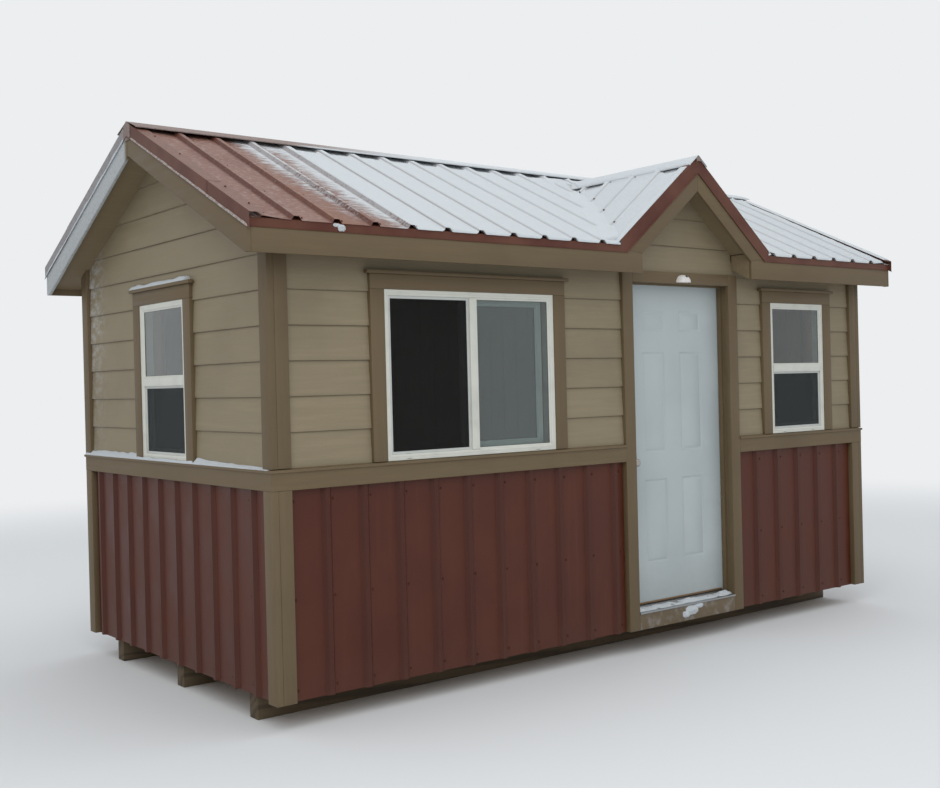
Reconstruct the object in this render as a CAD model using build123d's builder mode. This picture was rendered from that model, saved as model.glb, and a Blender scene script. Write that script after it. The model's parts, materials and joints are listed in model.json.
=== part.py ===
from build123d import *
import os
from math import atan2, cos, degrees, sin, sqrt

os.makedirs("parts", exist_ok=True)

# Millimetres. Origin on the ground under the middle of the building, +X to the right along
# the front wall, +Y to the back, +Z up.

# Overall size, measured over the corner boards
wall_length = 4950
wall_depth = 2485
header_rise = 153           # rough head of the doorway to the top of the eave boards
roof_run = 12
roof_rise = 6               # on the run of 12
eave_overhang = 148
gable_overhang = 175

# Skids and floor
skid_height = 140
skid_width = 89
skid_count = 3
skid_end_inset = 60
skid_side_inset = 315       # from the face of the long walls' trim
joist_width = 38
joist_depth = 89
joist_spacing = 406
floor_thickness = 18

# Walls and cladding
wall_thickness = 106        # sheathing, studs and lining boards
trim_width = 89
trim_thickness = 38
corner_board = 76           # front and back board of a corner, beside the side board's edge
lap_exposure = 177.8
lap_butt = 19               # lap board butt, out from the sheathing
lap_top = 9.5
belt_width = 89
ledge_height = 20
ledge_nose = 8              # ledge beyond the trim face
ledge_fall = 6              # slope of the ledge's top, out to its nose

# Ribbed metal sheet
sheet_thickness = 1
rib_pitch = 228.6
rib_height = 19
rib_base = 60
rib_top = 25
wall_rib_start = 328        # first rib in view, from the left end of the wall
gable_rib_start = 261
roof_rib_start = 88         # from the left end of the wall

# Doorway and door
door_middle = 532           # right of the middle of the building
slab_width = 911
slab_height = 2032
slab_thickness = 44
door_gap = 5
jamb_thickness = 19
jamb_reveal = 5
door_head_width = 72
stop_thickness = 12
stop_width = 30
sill_height = 20
sill_drop = 20              # fall of the sill's outer part
sill_nose = 6
side_stile = 174
middle_stile = 143
bottom_rail = 250
lower_panel = 537
lock_rail = 165
frieze_rail = 128
upper_panel = 139
top_rail = 165
panel_ring = 26
panel_depth = 6
knob_height = 903
knob_backset = 60
knob_radius = 26
rose_radius = 31
rose_thickness = 4
neck_radius = 12
knob_widest = 42            # reach at which the knob is widest
knob_reach = 60
hinge_length = 89
hinge_leaf = 30
leaf_thickness = 2.5
knuckle_radius = 6.5
pin_radius = 3
pin_clearance = 0.3
hinge_foot = 200            # door's foot to the lowest hinge
hinge_head = 143            # top hinge to the door's head
axis_out = 8                # hinge axis beyond the inner face of the wall
light_width = 138
light_reach = 50
light_round = 22
light_lift = 8              # above the foot of the head board

# Windows
window_height = 902
window_drop = 101           # doorway's head to the windows' heads
slider_width = 1194
hung_width = 600
small_window_shift = 15     # right of the middle between door and corner
gable_window_middle = 20    # behind the middle of the gable wall
frame_face = 32
frame_depth = 70
frame_setback = 6           # frame face behind the trim face
slider_sash_face = 42
hung_sash_face = 34
sash_depth = 26
sash_gap = 35               # the open sash, short of its jamb
glass_thickness = 6
mullion_width = 50
screen_depth = 8
screen_edge = 14
screen_mesh = 1.5
window_head_width = 80
cap_height = 19
cap_nose = 14
cap_end = 24

# Roof
rafter_depth = 89
rafter_width = 38
rafter_spacing = 610
roof_deck = 12
soffit_thickness = 8
fascia_width = 140
fascia_thickness = 19
sheet_gap = 3               # between roof deck sheets
joint = 0.5                 # between boards in one plane
seat = 0.3
drip_drop = 20              # drip edge over the fascia
drip_flange = 60
sheet_overhang = 18
rake_cover = 50             # rake trim over the fascia
rake_flange = 55
rake_lip = 8
cap_leg = 130
ridge_gap = 30              # between the roof sheets, under the ridge cap

# Dormer over the door
dormer_rise = 9.75          # on the run of 12
dormer_margin = 61.5        # clear opening under the gable boards, beyond each edge of the door
mitre_run = 194.4           # foot of a gable board, from the clear opening out to the mitre's tip
cheek_thickness = 19
valley_gap = 14
valley_leg = 110
dormer_frames = 4

# Derived places
front = -wall_depth / 2
back = wall_depth / 2
left = -wall_length / 2
right = wall_length / 2
core_front = front + trim_thickness
core_left = left + trim_thickness
inner_front = core_front + wall_thickness
inner_left = core_left + wall_thickness
base = skid_height
deck_top = base + joist_depth
floor_top = deck_top + floor_thickness
eave_y = front - eave_overhang
gable_x = left - gable_overhang
roof_slope = roof_rise / roof_run
dormer_slope = dormer_rise / roof_run
pitch = atan2(roof_rise, roof_run)
dormer_pitch = atan2(dormer_rise, roof_run)

# Doorway
jamb_left = door_middle - slab_width / 2 - door_gap
jamb_right = door_middle + slab_width / 2 + door_gap
rough_left = jamb_left - jamb_thickness
rough_right = jamb_right + jamb_thickness
slab_foot = floor_top + sill_height + door_gap
jamb_head = slab_foot + slab_height + door_gap
rough_head = jamb_head + jamb_thickness
slab_face = inner_front - slab_thickness
casing_left = jamb_left + jamb_reveal
casing_right = jamb_right - jamb_reveal
casing_outer_left = casing_left - trim_width
casing_outer_right = casing_right + trim_width
casing_head = jamb_head - jamb_reveal
casing_top = casing_head + door_head_width
apron_top = deck_top + floor_thickness / 2
hinge_x = jamb_right - door_gap / 2
hinge_y = inner_front + axis_out
hinge_middle = (hinge_foot + slab_height - hinge_head - hinge_length) / 2
hinge_heights = (hinge_foot, hinge_middle, slab_height - hinge_head - hinge_length)

# Belt under the windows, whose heads keep their place below the door's
belt_top = casing_head - window_drop - window_height
belt_foot = belt_top - ledge_height - belt_width
wainscot_height = belt_foot - base

# Roof and dormer
eave_top = rough_head + header_rise
dormer_leg = slab_width / 2 + dormer_margin
mitre_outer = dormer_leg + mitre_run
dormer_top = eave_top + dormer_slope * mitre_outer


def plumb(thickness):
    "Height that a layer of the main roof takes up when measured straight up."
    return thickness / cos(pitch)


def dormer_plumb(thickness):
    "The same on the dormer."
    return thickness / cos(dormer_pitch)


def roof_z(y, layer=0):
    "Height of the main roof at depth y, a layer above the rafters' top edge."
    return eave_top + roof_slope * (-eave_y - abs(y)) + plumb(layer)


def dormer_z(x, layer=0):
    "Height of the dormer roof at x, a layer above its rafters' top edge."
    return dormer_top - dormer_slope * abs(x - door_middle) + dormer_plumb(layer)


def write(piece, label):
    piece.part.label = label
    export_step(piece.part, f"parts/{label}.step")


def across(y):
    "Plane of the front wall at depth y. Extruding by a minus amount goes to the back."
    return Plane.XZ.offset(-y)


def box(x0, x1, y0, y1, z0, z1, mode=Mode.ADD):
    "A plain board or post between two corners, in the block that calls it."
    with Locations(((x0 + x1) / 2, (y0 + y1) / 2, (z0 + z1) / 2)):
        Box(x1 - x0, y1 - y0, z1 - z0, mode=mode)


def prism(plane, points, amount, mode=Mode.ADD):
    "A straight extrusion of an outline."
    with BuildSketch(plane) as outline:
        with BuildLine():
            Polyline(*points, close=True)
        make_face()
    extrude(outline.sketch, amount=amount, mode=mode)


# Layers of the roof, out from the rafters' top edge
sheet_foot = roof_deck + sheet_thickness + seat
sheet_crest = sheet_foot + sheet_thickness + rib_height
soffit_foot = -rafter_depth - soffit_thickness

# The main roof's deck plane, which the dormer lies on
deck_plane_point = (0, eave_y, roof_z(eave_y, roof_deck))
deck_normal = (0, -sin(pitch), cos(pitch))
deck_plane = Plane(origin=deck_plane_point, x_dir=(1, 0, 0), z_dir=deck_normal)

# The valleys, where the dormer's deck meets it: half their span at the eave, and their apex's depth
dormer_lift = dormer_z(door_middle, roof_deck) - roof_z(eave_y, roof_deck)
valley_foot = dormer_lift / dormer_slope
valley_apex = -eave_y - dormer_lift / roof_slope
above = 2 * eave_top        # higher than any ridge


# Skids under the floor, along the building
with BuildPart() as skids:
    skid_step = (wall_depth - 2 * skid_side_inset - skid_width) / (skid_count - 1)
    for number in range(skid_count):
        y = front + skid_side_inset + skid_step * number
        box(left + skid_end_inset, right - skid_end_inset, y, y + skid_width, 0, base)
write(skids, "skids")

# Floor frame: long rims at the front and back, joists between them
with BuildPart() as floor_rims:
    box(core_left, -core_left, core_front, core_front + joist_width, base, deck_top)
    box(core_left, -core_left, -core_front - joist_width, -core_front, base, deck_top)
write(floor_rims, "floor_rims")

with BuildPart() as floor_joists:
    joist_run = wall_length - 2 * trim_thickness - joist_width
    joist_bays = round(joist_run / joist_spacing)
    for number in range(joist_bays + 1):
        x = core_left + joist_run * number / joist_bays
        box(x, x + joist_width, core_front + joist_width, -core_front - joist_width, base, deck_top)
write(floor_joists, "floor_joists")

with BuildPart() as floor_deck:
    box(core_left, -core_left, core_front, -core_front, deck_top, floor_top)
write(floor_deck, "floor_deck")


def long_wall(x0, x1, foot, sign):
    "Part of the front or back wall, its head cut to the rafters' lower edge."
    ys = (sign * core_front, sign * inner_front)
    head = [(y, roof_z(y, -rafter_depth)) for y in reversed(ys)]
    prism(Plane.YZ.offset(x0), [(ys[0], foot), (ys[1], foot), *head], x1 - x0)


def gable_outline(y_end, foot, layer):
    "Outline of a gable up to a layer of the roof, between depths -y_end and y_end."
    return [
        (-y_end, foot),
        (y_end, foot),
        (y_end, roof_z(y_end, layer)),
        (0, roof_z(0, layer)),
        (-y_end, roof_z(y_end, layer)),
    ]


# The wide window stands midway between the corner and the door, the small one near that
corner_front = corner_board + trim_thickness
slider_middle = (left + corner_front + casing_outer_left) / 2
small_middle = (casing_outer_right + right - corner_front) / 2 + small_window_shift


def front_window_cut(middle, width, margin=0, top=0):
    box(middle - width / 2 - margin, middle + width / 2 + margin, front - eave_overhang, inner_front + 1,
        belt_top, belt_top + window_height + top, mode=Mode.SUBTRACT)


with BuildPart() as front_wall_left:
    long_wall(core_left, rough_left, floor_top, 1)
    front_window_cut(slider_middle, slider_width)
write(front_wall_left, "front_wall_left")

with BuildPart() as front_wall_right:
    long_wall(rough_right, -core_left, floor_top, 1)
    front_window_cut(small_middle, hung_width)
write(front_wall_right, "front_wall_right")

with BuildPart() as front_wall_header:
    long_wall(rough_left, rough_right, rough_head, 1)
write(front_wall_header, "front_wall_header")

with BuildPart() as back_wall:
    long_wall(core_left, -core_left, floor_top, -1)
write(back_wall, "back_wall")


def gable_window_cut(x0, x1, margin=0, top=0):
    y = gable_window_middle
    box(x0, x1, y - hung_width / 2 - margin, y + hung_width / 2 + margin,
        belt_top, belt_top + window_height + top, mode=Mode.SUBTRACT)


with BuildPart() as left_wall:
    prism(Plane.YZ.offset(core_left), gable_outline(-inner_front, floor_top, -rafter_depth), wall_thickness)
    gable_window_cut(core_left - 1, inner_left + 1)
write(left_wall, "left_wall")

with BuildPart() as right_wall:
    prism(Plane.YZ.offset(-core_left), gable_outline(-inner_front, floor_top, -rafter_depth),
          -wall_thickness)
    gable_window_cut(-inner_left - 1, -core_left + 1)
write(right_wall, "right_wall")


def ribbed_outline(start, end, first_rib):
    "Cross-section of ribbed sheet from start to end, pan at zero, ribs up, one rib at first_rib."
    shape = ((-rib_base / 2, 0), (-rib_top / 2, rib_height), (rib_top / 2, rib_height), (rib_base / 2, 0))
    count = int((end - first_rib) // rib_pitch) + 1
    lowest = -int((first_rib - start) // rib_pitch)
    crest = []
    for number in range(lowest, count):
        middle = first_rib + number * rib_pitch
        if middle - rib_base / 2 > start and middle + rib_base / 2 < end:
            crest += [(middle + x, z) for x, z in shape]
    crest = [(start, 0), *crest, (end, 0)]
    upper = [(x, z + sheet_thickness) for x, z in crest]
    return upper + list(reversed(crest))


def wainscot(plane, start, end, first_rib):
    "Upright ribbed sheet. The plane's x runs along the wall and its y points out of it."
    prism(plane, ribbed_outline(start, end, first_rib), wainscot_height)


# Sketch planes at the wall foot whose y axis points out of each wall
wainscot_front = Plane(origin=(0, core_front, belt_foot), x_dir=(1, 0, 0), z_dir=(0, 0, -1))
wainscot_back = Plane(origin=(0, -core_front, base), x_dir=(1, 0, 0), z_dir=(0, 0, 1))
wainscot_left = Plane(origin=(core_left, 0, base), x_dir=(0, 1, 0), z_dir=(0, 0, 1))
wainscot_right = Plane(origin=(-core_left, 0, belt_foot), x_dir=(0, 1, 0), z_dir=(0, 0, -1))

with BuildPart() as front_wainscot:
    wainscot(wainscot_front, left + corner_front, casing_outer_left, left + wall_rib_start)
    wainscot(wainscot_front, casing_outer_right, right - corner_front, left + wall_rib_start)
write(front_wainscot, "front_wainscot")

with BuildPart() as back_wainscot:
    wainscot(wainscot_back, left + corner_front, right - corner_front, left + wall_rib_start)
write(back_wainscot, "back_wainscot")

gable_rib = front + gable_rib_start
with BuildPart() as left_wainscot:
    wainscot(wainscot_left, front + trim_width, back - trim_width, gable_rib)
write(left_wainscot, "left_wainscot")

with BuildPart() as right_wainscot:
    wainscot(wainscot_right, front + trim_width, back - trim_width, gable_rib)
write(right_wainscot, "right_wainscot")


def lap_outline(foot, head, face, outward):
    "Cross-section of lap siding as depth and height, from the sheathing face outwards."
    points = [(face, foot)]
    z = belt_top
    while z + lap_exposure <= foot:
        z += lap_exposure
    while z < head:
        start = max(z, foot)
        stop = min(z + lap_exposure, head)
        for level in (start, stop):
            depth = lap_butt - (lap_butt - lap_top) * (level - z) / lap_exposure
            points.append((face + outward * depth, level))
        z += lap_exposure
    points.append((face, head))
    return points


soffit_line = roof_z(core_front, soffit_foot)
window_margin = trim_width
window_top = window_head_width + cap_height


def under_soffit(x0, x1, sign):
    "Cuts the head of front or back cladding to the slope of the eave soffit."
    y0, y1 = sign * eave_y, sign * core_front
    prism(Plane.YZ.offset(x0), [(y0, roof_z(y0, soffit_foot)), (y1, roof_z(y1, soffit_foot)),
          (y1, base), (y0, base)], x1 - x0, mode=Mode.INTERSECT)


# Front siding in two panels beside the door and one over it, up into the dormer
with BuildPart() as siding_front_left:
    x0, x1 = left + corner_front, casing_outer_left
    prism(Plane.YZ.offset(x0), lap_outline(belt_top, soffit_line, core_front, -1), x1 - x0)
    front_window_cut(slider_middle, slider_width, window_margin, window_top)
    under_soffit(x0, x1, 1)
with BuildPart() as siding_front_right:
    x0, x1 = casing_outer_right, right - corner_front
    prism(Plane.YZ.offset(x0), lap_outline(belt_top, soffit_line, core_front, -1), x1 - x0)
    front_window_cut(small_middle, hung_width, window_margin, window_top)
    under_soffit(x0, x1, 1)
with BuildPart() as siding_over_door:
    shoulder = roof_z(front, soffit_foot)
    gable_foot = dormer_z(door_middle + dormer_leg, soffit_foot)
    head = dormer_z(door_middle, soffit_foot)
    prism(Plane.YZ.offset(casing_outer_left), lap_outline(casing_top, head, core_front, -1),
          casing_outer_right - casing_outer_left)
    prism(across(eave_y), [(casing_outer_left, casing_top), (casing_outer_right, casing_top),
          (casing_outer_right, shoulder), (door_middle + dormer_leg, shoulder),
          (door_middle + dormer_leg, gable_foot), (door_middle, head),
          (door_middle - dormer_leg, gable_foot), (door_middle - dormer_leg, shoulder),
          (casing_outer_left, shoulder)], eave_y - core_front, mode=Mode.INTERSECT)
with BuildPart() as front_siding:
    add(siding_front_left.part)
    add(siding_front_right.part)
    add(siding_over_door.part)
write(front_siding, "front_siding")

with BuildPart() as back_siding:
    x0, x1 = left + corner_front, right - corner_front
    prism(Plane.YZ.offset(x0), lap_outline(belt_top, soffit_line, -core_front, 1), x1 - x0)
    under_soffit(x0, x1, -1)
write(back_siding, "back_siding")


def gable_siding(side):
    "Siding of the left (side -1) or right (side 1) gable."
    face = -side * core_left
    end = back - trim_width
    ridge = roof_z(0, soffit_foot)
    profile = Plane(origin=(0, -end, 0), x_dir=(1, 0, 0), z_dir=(0, -1, 0))
    prism(profile, lap_outline(belt_top, ridge, face, side), -2 * end)
    outline = gable_outline(end, belt_top, soffit_foot)
    prism(Plane.YZ.offset(face), outline, side * lap_butt, mode=Mode.INTERSECT)
    gable_window_cut(face - trim_thickness, face + trim_thickness, window_margin, window_top)


with BuildPart() as left_siding:
    gable_siding(-1)
write(left_siding, "left_siding")

with BuildPart() as right_siding:
    gable_siding(1)
write(right_siding, "right_siding")


def corner_post(z0, z1, x_sign, y_sign):
    "Two boards at right angles, the front one butted against the side one's edge."
    outer_x, outer_y = x_sign * right, y_sign * back
    side_x = outer_x - x_sign * trim_thickness
    side_y = outer_y - y_sign * trim_width
    face_x = side_x - x_sign * corner_board
    face_y = outer_y - y_sign * trim_thickness
    box(min(outer_x, side_x), max(outer_x, side_x), min(outer_y, side_y), max(outer_y, side_y), z0, z1)
    box(min(side_x, face_x), max(side_x, face_x), min(outer_y, face_y), max(outer_y, face_y), z0, z1)


with BuildPart() as corner_boards:
    for x_sign in (-1, 1):
        for y_sign in (-1, 1):
            corner_post(base, belt_foot, x_sign, y_sign)
            corner_post(belt_top, roof_z(front + trim_width, soffit_foot), x_sign, y_sign)
    prism(Plane.YZ.offset(left), gable_outline(back, base, soffit_foot), wall_length, mode=Mode.INTERSECT)
write(corner_boards, "corner_boards")

# Belt board and sloped ledge round the building, open at the door
with BuildPart() as belt_trim:
    ledge_foot = belt_foot + belt_width
    with BuildSketch(Plane.XY.offset(belt_foot)):
        Rectangle(wall_length, wall_depth)
        Rectangle(wall_length - 2 * trim_thickness, wall_depth - 2 * trim_thickness, mode=Mode.SUBTRACT)
    extrude(amount=belt_width)
    with BuildSketch(Plane.XY.offset(ledge_foot)):
        Rectangle(wall_length + 2 * ledge_nose, wall_depth + 2 * ledge_nose)
    extrude(amount=ledge_height - ledge_fall)
    with BuildSketch(Plane.XY.offset(belt_top - ledge_fall)):
        Rectangle(wall_length + 2 * ledge_nose, wall_depth + 2 * ledge_nose)
    extrude(amount=ledge_fall, taper=degrees(atan2(ledge_nose + trim_thickness - lap_butt, ledge_fall)))
    box(core_left, -core_left, core_front, -core_front, ledge_foot, belt_top, mode=Mode.SUBTRACT)
    box(casing_outer_left, casing_outer_right, front - ledge_nose, core_front, belt_foot, belt_top,
        mode=Mode.SUBTRACT)
write(belt_trim, "belt_trim")

# Door casing: two legs, a head board and the apron board under the sill
with BuildPart() as door_trim:
    box(casing_outer_left, casing_left, front, core_front, base, casing_top)
    box(casing_right, casing_outer_right, front, core_front, base, casing_top)
    box(casing_left, casing_right, front, core_front, casing_head, casing_top)
    box(casing_left, casing_right, front, core_front, base, apron_top)
write(door_trim, "door_trim")

with BuildPart() as door_frame:
    box(rough_left, jamb_left, core_front, inner_front, floor_top, rough_head)
    box(jamb_right, rough_right, core_front, inner_front, floor_top, rough_head)
    box(jamb_left, jamb_right, core_front, inner_front, jamb_head, rough_head)
    stop_y = slab_face - door_gap
    box(jamb_left, jamb_left + stop_thickness, stop_y - stop_width, stop_y, floor_top + sill_height,
        jamb_head)
    box(jamb_right - stop_thickness, jamb_right, stop_y - stop_width, stop_y, floor_top + sill_height,
        jamb_head)
    box(jamb_left, jamb_right, stop_y - stop_width, stop_y, jamb_head - stop_thickness, jamb_head)
    for height in hinge_heights:
        z = slab_foot + height
        box(jamb_right, jamb_right + leaf_thickness, inner_front - hinge_leaf, inner_front, z,
            z + hinge_length, mode=Mode.SUBTRACT)
write(door_frame, "door_frame")

# Sill between the jambs, sloping out over the apron board
with BuildPart() as door_sill:
    sill_top = floor_top + sill_height
    fall = sill_drop / (slab_face - front + sill_nose)
    prism(Plane.YZ.offset(jamb_left), [
        (core_front, floor_top),
        (inner_front, floor_top),
        (inner_front, sill_top),
        (slab_face, sill_top),
        (core_front, sill_top - fall * (slab_face - core_front)),
    ], jamb_right - jamb_left)
    prism(Plane.YZ.offset(casing_left), [
        (front - sill_nose, apron_top),
        (core_front, apron_top),
        (core_front, sill_top - fall * (slab_face - core_front)),
        (front - sill_nose, sill_top - sill_drop),
    ], casing_right - casing_left)
write(door_sill, "door_sill")

slab_left = jamb_left + door_gap
slab_right = jamb_right - door_gap
panel_width = (slab_width - 2 * side_stile - middle_stile) / 2
lock_panel_foot = bottom_rail + lower_panel + lock_rail
upper_panel_foot = slab_height - top_rail - upper_panel
panel_rows = (
    (bottom_rail, lower_panel),
    (lock_panel_foot, upper_panel_foot - frieze_rail - lock_panel_foot),
    (upper_panel_foot, upper_panel),
)


def panel_rings():
    "Sunk ring of each moulded panel, drawn on the face in use."
    for foot, height in panel_rows:
        for side in (-1, 1):
            x = side * (middle_stile + panel_width) / 2
            with Locations((x, foot + height / 2)):
                Rectangle(panel_width, height)
                Rectangle(panel_width - 2 * panel_ring, height - 2 * panel_ring, mode=Mode.SUBTRACT)


with BuildPart() as door_slab:
    box(slab_left, slab_right, slab_face, inner_front, slab_foot, slab_foot + slab_height)
    outside = Plane(origin=(door_middle, slab_face, slab_foot), x_dir=(1, 0, 0), z_dir=(0, -1, 0))
    with BuildSketch(outside):
        panel_rings()
    extrude(amount=-panel_depth, mode=Mode.SUBTRACT)
    inside = Plane(origin=(door_middle, inner_front, slab_foot), x_dir=(-1, 0, 0), z_dir=(0, 1, 0))
    with BuildSketch(inside):
        panel_rings()
    extrude(amount=-panel_depth, mode=Mode.SUBTRACT)
    for height in hinge_heights:
        z = slab_foot + height
        box(slab_right - leaf_thickness, slab_right, inner_front - hinge_leaf, inner_front, z,
            z + hinge_length, mode=Mode.SUBTRACT)
write(door_slab, "door_slab")

# Rose, neck and knob, turned about the spindle from half a section with bevelled shoulders
shoulder_run = (knob_radius - neck_radius) / 2
crown = (knob_reach - knob_widest) / 2
with BuildPart() as knob_shape:
    with BuildSketch(Plane.XY):
        with BuildLine():
            Polyline(
                (0, 0),
                (rose_radius, 0),
                (rose_radius, rose_thickness),
                (neck_radius, rose_thickness),
                (neck_radius, knob_widest - 2 * shoulder_run),
                (knob_radius, knob_widest - shoulder_run),
                (knob_radius, knob_reach - crown),
                (knob_radius - crown, knob_reach),
                (0, knob_reach),
                close=True,
            )
        make_face()
    revolve(axis=Axis.Y)

knob_x = slab_left + knob_backset
knob_z = slab_foot + knob_height
with BuildPart() as door_knobs:
    add(knob_shape.part.moved(Location((knob_x, slab_face, knob_z), (180, 0, 0))))
    add(knob_shape.part.moved(Location((knob_x, inner_front, knob_z))))
write(door_knobs, "door_knobs")

knuckle = hinge_length / 3       # two knuckles on the frame's leaf, one on the door's


def knuckles(z, numbers, bore):
    "Knuckles of a hinge, bored for the pin or solid."
    for number in numbers:
        with Locations((hinge_x, hinge_y, z + (number + 0.5) * knuckle)):
            Cylinder(knuckle_radius, knuckle - 2 * pin_clearance)
            if bore:
                Cylinder(bore, knuckle, mode=Mode.SUBTRACT)


with BuildPart() as hinge_frame_leaves:
    for height in hinge_heights:
        z = slab_foot + height
        box(jamb_right, jamb_right + leaf_thickness, inner_front - hinge_leaf, hinge_y, z, z + hinge_length)
        box(hinge_x + pin_radius, jamb_right + leaf_thickness, hinge_y - leaf_thickness / 2,
            hinge_y + leaf_thickness / 2, z, z + hinge_length)
        with Locations((hinge_x, hinge_y, z + hinge_length / 2)):
            Cylinder(knuckle_radius + leaf_thickness, knuckle, mode=Mode.SUBTRACT)
            Cylinder(pin_radius, 2 * knuckle)
        knuckles(z, (0, 2), None)
write(hinge_frame_leaves, "hinge_frame_leaves")

with BuildPart() as hinge_door_leaves:
    for height in hinge_heights:
        z = slab_foot + height
        box(slab_right - leaf_thickness, slab_right, inner_front - hinge_leaf, hinge_y, z, z + hinge_length)
        for number in (0, 2):
            with Locations((hinge_x, hinge_y, z + (number + 0.5) * knuckle)):
                Cylinder(knuckle_radius + leaf_thickness, knuckle, mode=Mode.SUBTRACT)
        knuckles(z, (1,), pin_radius + pin_clearance)
write(hinge_door_leaves, "hinge_door_leaves")

# Half-dome light on the head board
with BuildPart() as porch_light:
    with BuildSketch(across(front)):
        with Locations((door_middle, casing_head + light_lift)):
            Circle(light_width / 2)
            with Locations((0, -light_width / 2)):
                Rectangle(light_width, light_width, mode=Mode.SUBTRACT)
    extrude(amount=light_reach)
    rim = edges().filter_by(GeomType.CIRCLE).sort_by(Axis.Y)[0]
    chamfer(rim, length=light_round)
write(porch_light, "porch_light")


def window_ring(plane, width, height, face, depth):
    "A rectangular frame, foot of its outline on the plane's origin."
    with BuildSketch(plane) as ring:
        with Locations((0, height / 2)):
            Rectangle(width, height)
            Rectangle(width - 2 * face, height - 2 * face, mode=Mode.SUBTRACT)
    extrude(ring.sketch, amount=-depth)


def window_board(plane, middle, foot, width, height, depth):
    "A pane, bar or mesh, its middle and foot given on the window's plane."
    with BuildSketch(plane) as board:
        with Locations((middle, foot + height / 2)):
            Rectangle(width, height)
    extrude(board.sketch, amount=-depth)


def window_plane(x, y, outward):
    "Sketch plane of a window's outer face, its origin at the middle of the window's foot."
    return Plane(origin=(x, y, belt_top), x_dir=(-outward[1], outward[0], 0), z_dir=(*outward, 0))


slider_plane = window_plane(slider_middle, front + frame_setback, (0, -1))
hung_planes = (
    window_plane(small_middle, front + frame_setback, (0, -1)),
    window_plane(left + frame_setback, gable_window_middle, (-1, 0)),
    window_plane(right - frame_setback, gable_window_middle, (1, 0)),
)
outer_track = 12            # glass and screen behind the frame face
inner_track = 38            # sash behind the frame face
track_gap = 2
pane_height = window_height - 2 * frame_face
slider_pane = (slider_width - 2 * frame_face - mullion_width) / 2
rail_z = window_height / 2 - mullion_width / 2
hung_clear = hung_width - 2 * frame_face
lower_pane = rail_z - frame_face
upper_pane = window_height - frame_face - rail_z - mullion_width

with BuildPart() as window_frames:
    window_ring(slider_plane, slider_width, window_height, frame_face, frame_depth)
    window_board(slider_plane, 0, frame_face, mullion_width, pane_height, inner_track - track_gap)
    for plane in hung_planes:
        window_ring(plane, hung_width, window_height, frame_face, frame_depth)
        window_board(plane, 0, rail_z, hung_clear, mullion_width, inner_track - track_gap)
write(window_frames, "window_frames")

# The slider's sash stands nearly open, behind the fixed pane. Each hung window's lower sash is shut
sash_width = slider_pane + mullion_width
sash_x = slider_width / 2 - frame_face - sash_gap - sash_width / 2


def sash(plane, middle, width, height, face):
    track = plane.offset(-inner_track)
    track = track.shift_origin(track.from_local_coords((middle, frame_face, 0)))
    window_ring(track, width, height, face, sash_depth)


with BuildPart() as window_sashes:
    sash(slider_plane, sash_x, sash_width, pane_height, slider_sash_face)
    for plane in hung_planes:
        sash(plane, 0, hung_clear, lower_pane + mullion_width, hung_sash_face)
write(window_sashes, "window_sashes")


def sash_pane(plane, middle, width, height, face):
    window_board(plane.offset(-inner_track - sash_depth / 2), middle, frame_face + face,
                 width - 2 * face, height - 2 * face, glass_thickness)


with BuildPart() as window_glass:
    fixed_x = (mullion_width + slider_pane) / 2
    window_board(slider_plane.offset(-outer_track), fixed_x, frame_face, slider_pane, pane_height,
                 glass_thickness)
    sash_pane(slider_plane, sash_x, sash_width, pane_height, slider_sash_face)
    for plane in hung_planes:
        window_board(plane.offset(-outer_track), 0, rail_z + mullion_width, hung_clear, upper_pane,
                     glass_thickness)
        sash_pane(plane, 0, hung_clear, lower_pane + mullion_width, hung_sash_face)
write(window_glass, "window_glass")


def screen(plane, middle, foot, width, height):
    "Insect screen: a slim frame with its mesh."
    edge = plane.offset(-outer_track)
    window_ring(edge.shift_origin(edge.from_local_coords((middle, foot, 0))), width, height, screen_edge,
                screen_depth)
    window_board(plane.offset(-outer_track - screen_depth / 2), middle, foot, width, height, screen_mesh)


with BuildPart() as window_screens:
    screen(slider_plane, -fixed_x, frame_face, slider_pane, pane_height)
    for plane in hung_planes:
        screen(plane, 0, frame_face, hung_clear, lower_pane)
write(window_screens, "window_screens")


def window_casing(plane, width):
    "Side boards on the belt ledge, a head board over both, and a cap round a window."
    wall = plane.offset(frame_setback)
    cap = wall.offset(cap_nose)
    cap_foot = window_height + window_head_width
    span = width + 2 * trim_width
    for side in (-1, 1):
        window_board(wall, side * (width + trim_width) / 2, 0, trim_width, window_height, trim_thickness)
    window_board(wall, 0, window_height, span, window_head_width, trim_thickness)
    window_board(cap, 0, cap_foot, span, cap_height, trim_thickness + cap_nose)
    window_board(cap, 0, cap_foot, span + 2 * cap_end, cap_height, cap_nose + trim_thickness - lap_butt)


with BuildPart() as window_trims:
    window_casing(slider_plane, slider_width)
    for plane in hung_planes:
        window_casing(plane, hung_width)
write(window_trims, "window_trims")


def slope_board(x0, x1, y0, y1, low, high):
    "A board that follows the main roof between two depths and two layers, its ends cut plumb."
    prism(Plane.YZ.offset(x0), [(y0, roof_z(y0, low)), (y1, roof_z(y1, low)), (y1, roof_z(y1, high)),
          (y0, roof_z(y0, high))], x1 - x0)


tail_y = eave_y + fascia_thickness
fascia_foot = eave_top - fascia_width
mitre_inner_z = dormer_z(door_middle + dormer_leg, -fascia_width)
notch_left = door_middle - dormer_leg - cheek_thickness
notch_right = door_middle + dormer_leg + cheek_thickness
ridge_half = rafter_width / 2
fly_x = gable_x + fascia_thickness
rafter_run = wall_length - 2 * trim_thickness - rafter_width
rafter_count = round(rafter_run / rafter_spacing) + 1
rafter_xs = [core_left + rafter_run * number / (rafter_count - 1) for number in range(rafter_count)]

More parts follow.
